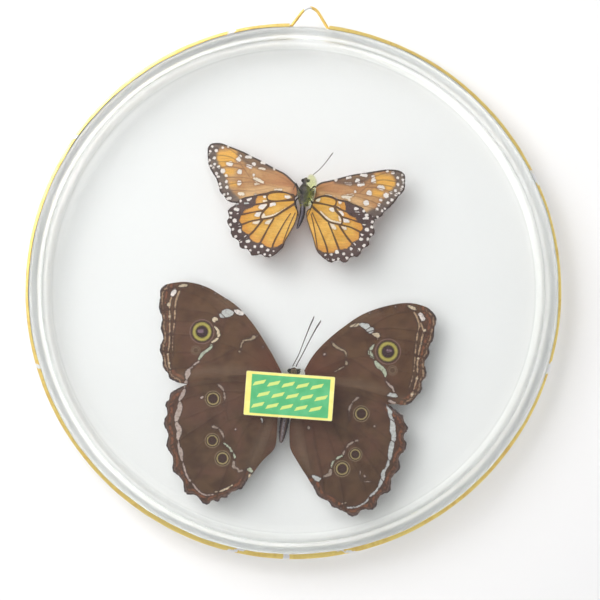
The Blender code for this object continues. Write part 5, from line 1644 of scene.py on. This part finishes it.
def make_glue(node, thickest):
    """A dab spread on the inside of the glass, domed towards the insect."""
    outline = even_path(smooth_path(read_outline(node), 8, closed=True), 0.25)
    places, triangles = fill_outline(outline, 0.3)
    rim = distance_to_path(places, np.vstack([outline, outline[:1]]))
    dome = 1 - np.exp(-rim / 0.8)
    lumps = 0.12 * np.sin(1.7 * places[:, 0] + 0.4) * np.sin(1.3 * places[:, 1])
    thick = 0.06 + (thickest - 0.1) * dome * (0.9 + lumps)
    glass_y = INNER_FACE_Y + 0.02
    front = np.column_stack([places[:, 0], np.full(len(places), glass_y), places[:, 1]])
    back = np.column_stack([places[:, 0], glass_y + thick, places[:, 1]])
    faces = sheet_faces([tuple(triangle) for triangle in triangles.tolist()], len(places))
    show(node + "_dab", (np.vstack([front, back]), faces), [GLUES[node]], node, 50.0)


ANTENNAE = {
    "morpho_left_antenna": [
        (1.4, -15.4, -27.9, 0.17), (2.1, -15.2, -26.4, 0.17), (3.5, -14.6, -23.2, 0.17),
        (4.6, -14.0, -19.8, 0.17),
        (5.9, -13.3, -15.8, 0.19), (7.1, -12.7, -12.2, 0.24), (7.9, -12.4, -10.2, 0.26),
        (8.3, -12.3, -8.9, 0.15)],
    "morpho_right_antenna": [
        (2.7, -15.4, -27.9, 0.19), (3.3, -15.5, -26.4, 0.19), (4.6, -15.7, -23.6, 0.19),
        (6.0, -15.9, -20.4, 0.19),
        (7.6, -16.1, -16.8, 0.21), (9.3, -16.2, -13.2, 0.26), (10.3, -16.3, -11.4, 0.28),
        (10.9, -16.3, -10.2, 0.16)],
    "queen_antenna": [
        (3.0, -15.8, 42.4, 0.15), (4.6, -15.6, 43.5, 0.15), (6.2, -15.3, 44.9, 0.15),
        (7.8, -15.0, 46.7, 0.15),
        (9.3, -14.7, 48.8, 0.17), (10.6, -14.4, 50.8, 0.21), (11.2, -14.3, 51.7, 0.22),
        (11.6, -14.2, 52.3, 0.13)]}
LEGS = {
    "morpho_left_midleg": [(-1.1, -18.2, -34.6), (-3.4, -17.7, -37.8), (-3.0, -17.6, -42.0),
                           (-2.2, -17.7, -45.4)],
    "morpho_right_midleg": [(3.8, -18.2, -34.6), (6.1, -17.7, -37.8), (5.5, -17.6, -42.0),
                            (4.5, -17.7, -45.4)],
    "morpho_left_hindleg": [(-0.7, -18.3, -37.4), (-2.2, -17.7, -40.4), (-1.8, -17.6, -43.0),
                            (-0.8, -17.8, -46.0)],
    "morpho_right_hindleg": [(3.2, -18.2, -37.4), (4.6, -17.7, -40.4), (3.9, -17.6, -43.2),
                             (2.4, -17.8, -46.0)],
    "queen_left_midleg": [(0.9, -18.8, 35.9), (-0.2, -18.5, 37.7), (-1.3, -18.0, 39.6), (-1.6, -17.8, 39.4),
                          (-2.3, -17.6, 37.4)],
    "queen_left_hindleg": [(-0.1, -18.0, 34.6), (-1.2, -17.6, 33.2), (-0.6, -17.6, 30.6),
                           (0.3, -17.8, 27.6)],
    "queen_right_midleg": [(3.9, -18.1, 37.4), (5.4, -17.8, 39.0), (6.2, -17.6, 36.4), (6.0, -17.6, 34.0)],
    "queen_right_hindleg": [(3.6, -18.0, 34.6), (4.8, -17.6, 32.6), (4.4, -17.6, 30.2), (3.4, -17.8, 27.6)]}


def make_insects():
    """Both butterflies: wings, bodies, antennae, legs and glue."""
    for node, design in DESIGNS.items():
        kind = node.split("_")[0]
        look = kind + ("_fore" if "fore" in node else "_hind")
        root_y = WING_Y[kind] - (WING_LAYER if "hind" in look else 0.0)
        make_wing(node, WING_PITCH[kind], AXIS_X[kind], root_y, design, WING_PAINTS[look])
    for kind in BODIES:
        make_body(kind)
    for node, points in ANTENNAE.items():
        make_antenna(node, points, THREADS[node.split("_")[0]])
    for seed, (node, points) in enumerate(LEGS.items()):
        make_leg(node, points, LIMBS[node.split("_")[0]], seed)
    make_glue("morpho_glue", 0.5)
    make_glue("queen_glue", 0.7)


make_glass()
make_band()
make_loop()
make_label()
make_insects()


# Wall, camera and light

def make_wall():
    """A pale wall close behind the case, seen only from the front."""
    mesh = bpy.data.meshes.new("wall")
    corners = [(x * WALL_HALF, WALL_Y, z * WALL_HALF) for x, z in ((-1, -1), (1, -1), (1, 1), (-1, 1))]
    mesh.from_pydata(corners, [], [(0, 1, 2, 3)])
    wall = bpy.data.objects.new("wall", mesh)
    bpy.context.scene.collection.objects.link(wall)
    paint, recipe, shader = new_paint("wall_paint", Base_Color=(0.86, 0.855, 0.86), Roughness=0.9)
    rear = recipe.add("NewGeometry").outputs["Backfacing"]
    clear = recipe.add("BsdfTransparent").outputs[0]
    mixed = recipe.add("MixShader")
    for socket, value in zip(mixed.inputs, (rear, shader.outputs[0], clear)):
        recipe.feed(socket, value)
    recipe.feed(paint.node_tree.nodes["Material Output"].inputs["Surface"], mixed.outputs[0])
    mesh.materials.append(paint)
    wall.visible_shadow = False


def make_camera():
    """Straight in front of the case, rolled by the photograph's tilt."""
    cos_tilt, sin_tilt = math.cos(TILT), math.sin(TILT)
    right = Vector((cos_tilt, 0, sin_tilt))
    up = Vector((-sin_tilt, 0, cos_tilt))
    middle = PICTURE_PX / 2
    aside = (middle - DISC_CENTRE_PX[0]) / PX_PER_MM * MM
    below = (middle - DISC_CENTRE_PX[1]) / PX_PER_MM * MM
    lens = bpy.data.cameras.new("camera")
    lens.sensor_width = SENSOR
    lens.lens = PX_PER_MM * CAMERA_DISTANCE / MM * SENSOR / PICTURE_PX
    camera = bpy.data.objects.new("camera", lens)
    bpy.context.scene.collection.objects.link(camera)
    place = Vector((0, SEAM_Y * MM - CAMERA_DISTANCE, 0)) + right * aside - up * below
    back = Vector((0, -1, 0))
    camera.matrix_world = Matrix([*zip(right, up, back, place), (0, 0, 0, 1)])
    bpy.context.scene.camera = camera


def area_lamp(name, place, size, power, colour):
    """A square lamp that faces the case's middle and can't be seen itself."""
    lamp = bpy.data.lights.new(name, "AREA")
    lamp.size = size
    lamp.energy = power
    lamp.color = colour
    thing = bpy.data.objects.new(name, lamp)
    bpy.context.scene.collection.objects.link(thing)
    thing.location = place
    thing.rotation_euler = (-Vector(place)).to_track_quat("-Z", "Y").to_euler()
    thing.visible_camera = False
    return thing


def make_light():
    """A pale room for the reflections, a wide lamp in front, a soft one at the upper left, and fills."""
    world = bpy.data.worlds.new("room")
    world.use_nodes = True
    recipe = Recipe(world.node_tree)
    sky = world.node_tree.nodes["Background"]
    ahead = recipe.add("VectorMath", operation="DOT_PRODUCT")
    recipe.feed(ahead.inputs[0], recipe.add("TexCoord").outputs["Generated"])
    ahead.inputs[1].default_value = (0.0, -1.0, 0.0)
    shade = recipe.step(ahead.outputs["Value"], 0.955, 0.985)
    recipe.feed(sky.inputs["Color"], recipe.mix(shade, (0.985, 0.99, 1.0), (0.42, 0.42, 0.42)))
    sky.inputs["Strength"].default_value = 0.7
    bpy.context.scene.world = world
    world.cycles_visibility.diffuse = False
    front = area_lamp("front_lamp", (-0.26, -1.2, 0.18), 1.1, 13.8, (0.988, 0.998, 1.0))
    front.visible_glossy = False
    front.visible_transmission = False
    key = Vector(KEY_WAY).normalized() * KEY_DISTANCE
    area_lamp("key_lamp", key, 0.55, 4.0, (1.0, 0.985, 0.975))
    for x, z, power in ((-1.0, -0.9, 3.0), (-1.0, 0.9, 3.0), (1.0, 0.9, 1.6), (1.0, -0.9, 1.6)):
        fill = area_lamp("fill_lamp", (x, -1.0, z), 0.9, power, (1.0, 0.995, 0.99))
        fill.visible_glossy = False
    area_lamp("rear_lamp", (0.35, 0.75, 0.45), 0.6, 6.0, (1.0, 1.0, 1.0))
    bpy.context.scene.view_settings.view_transform = "Standard"


make_wall()
make_camera()
make_light()
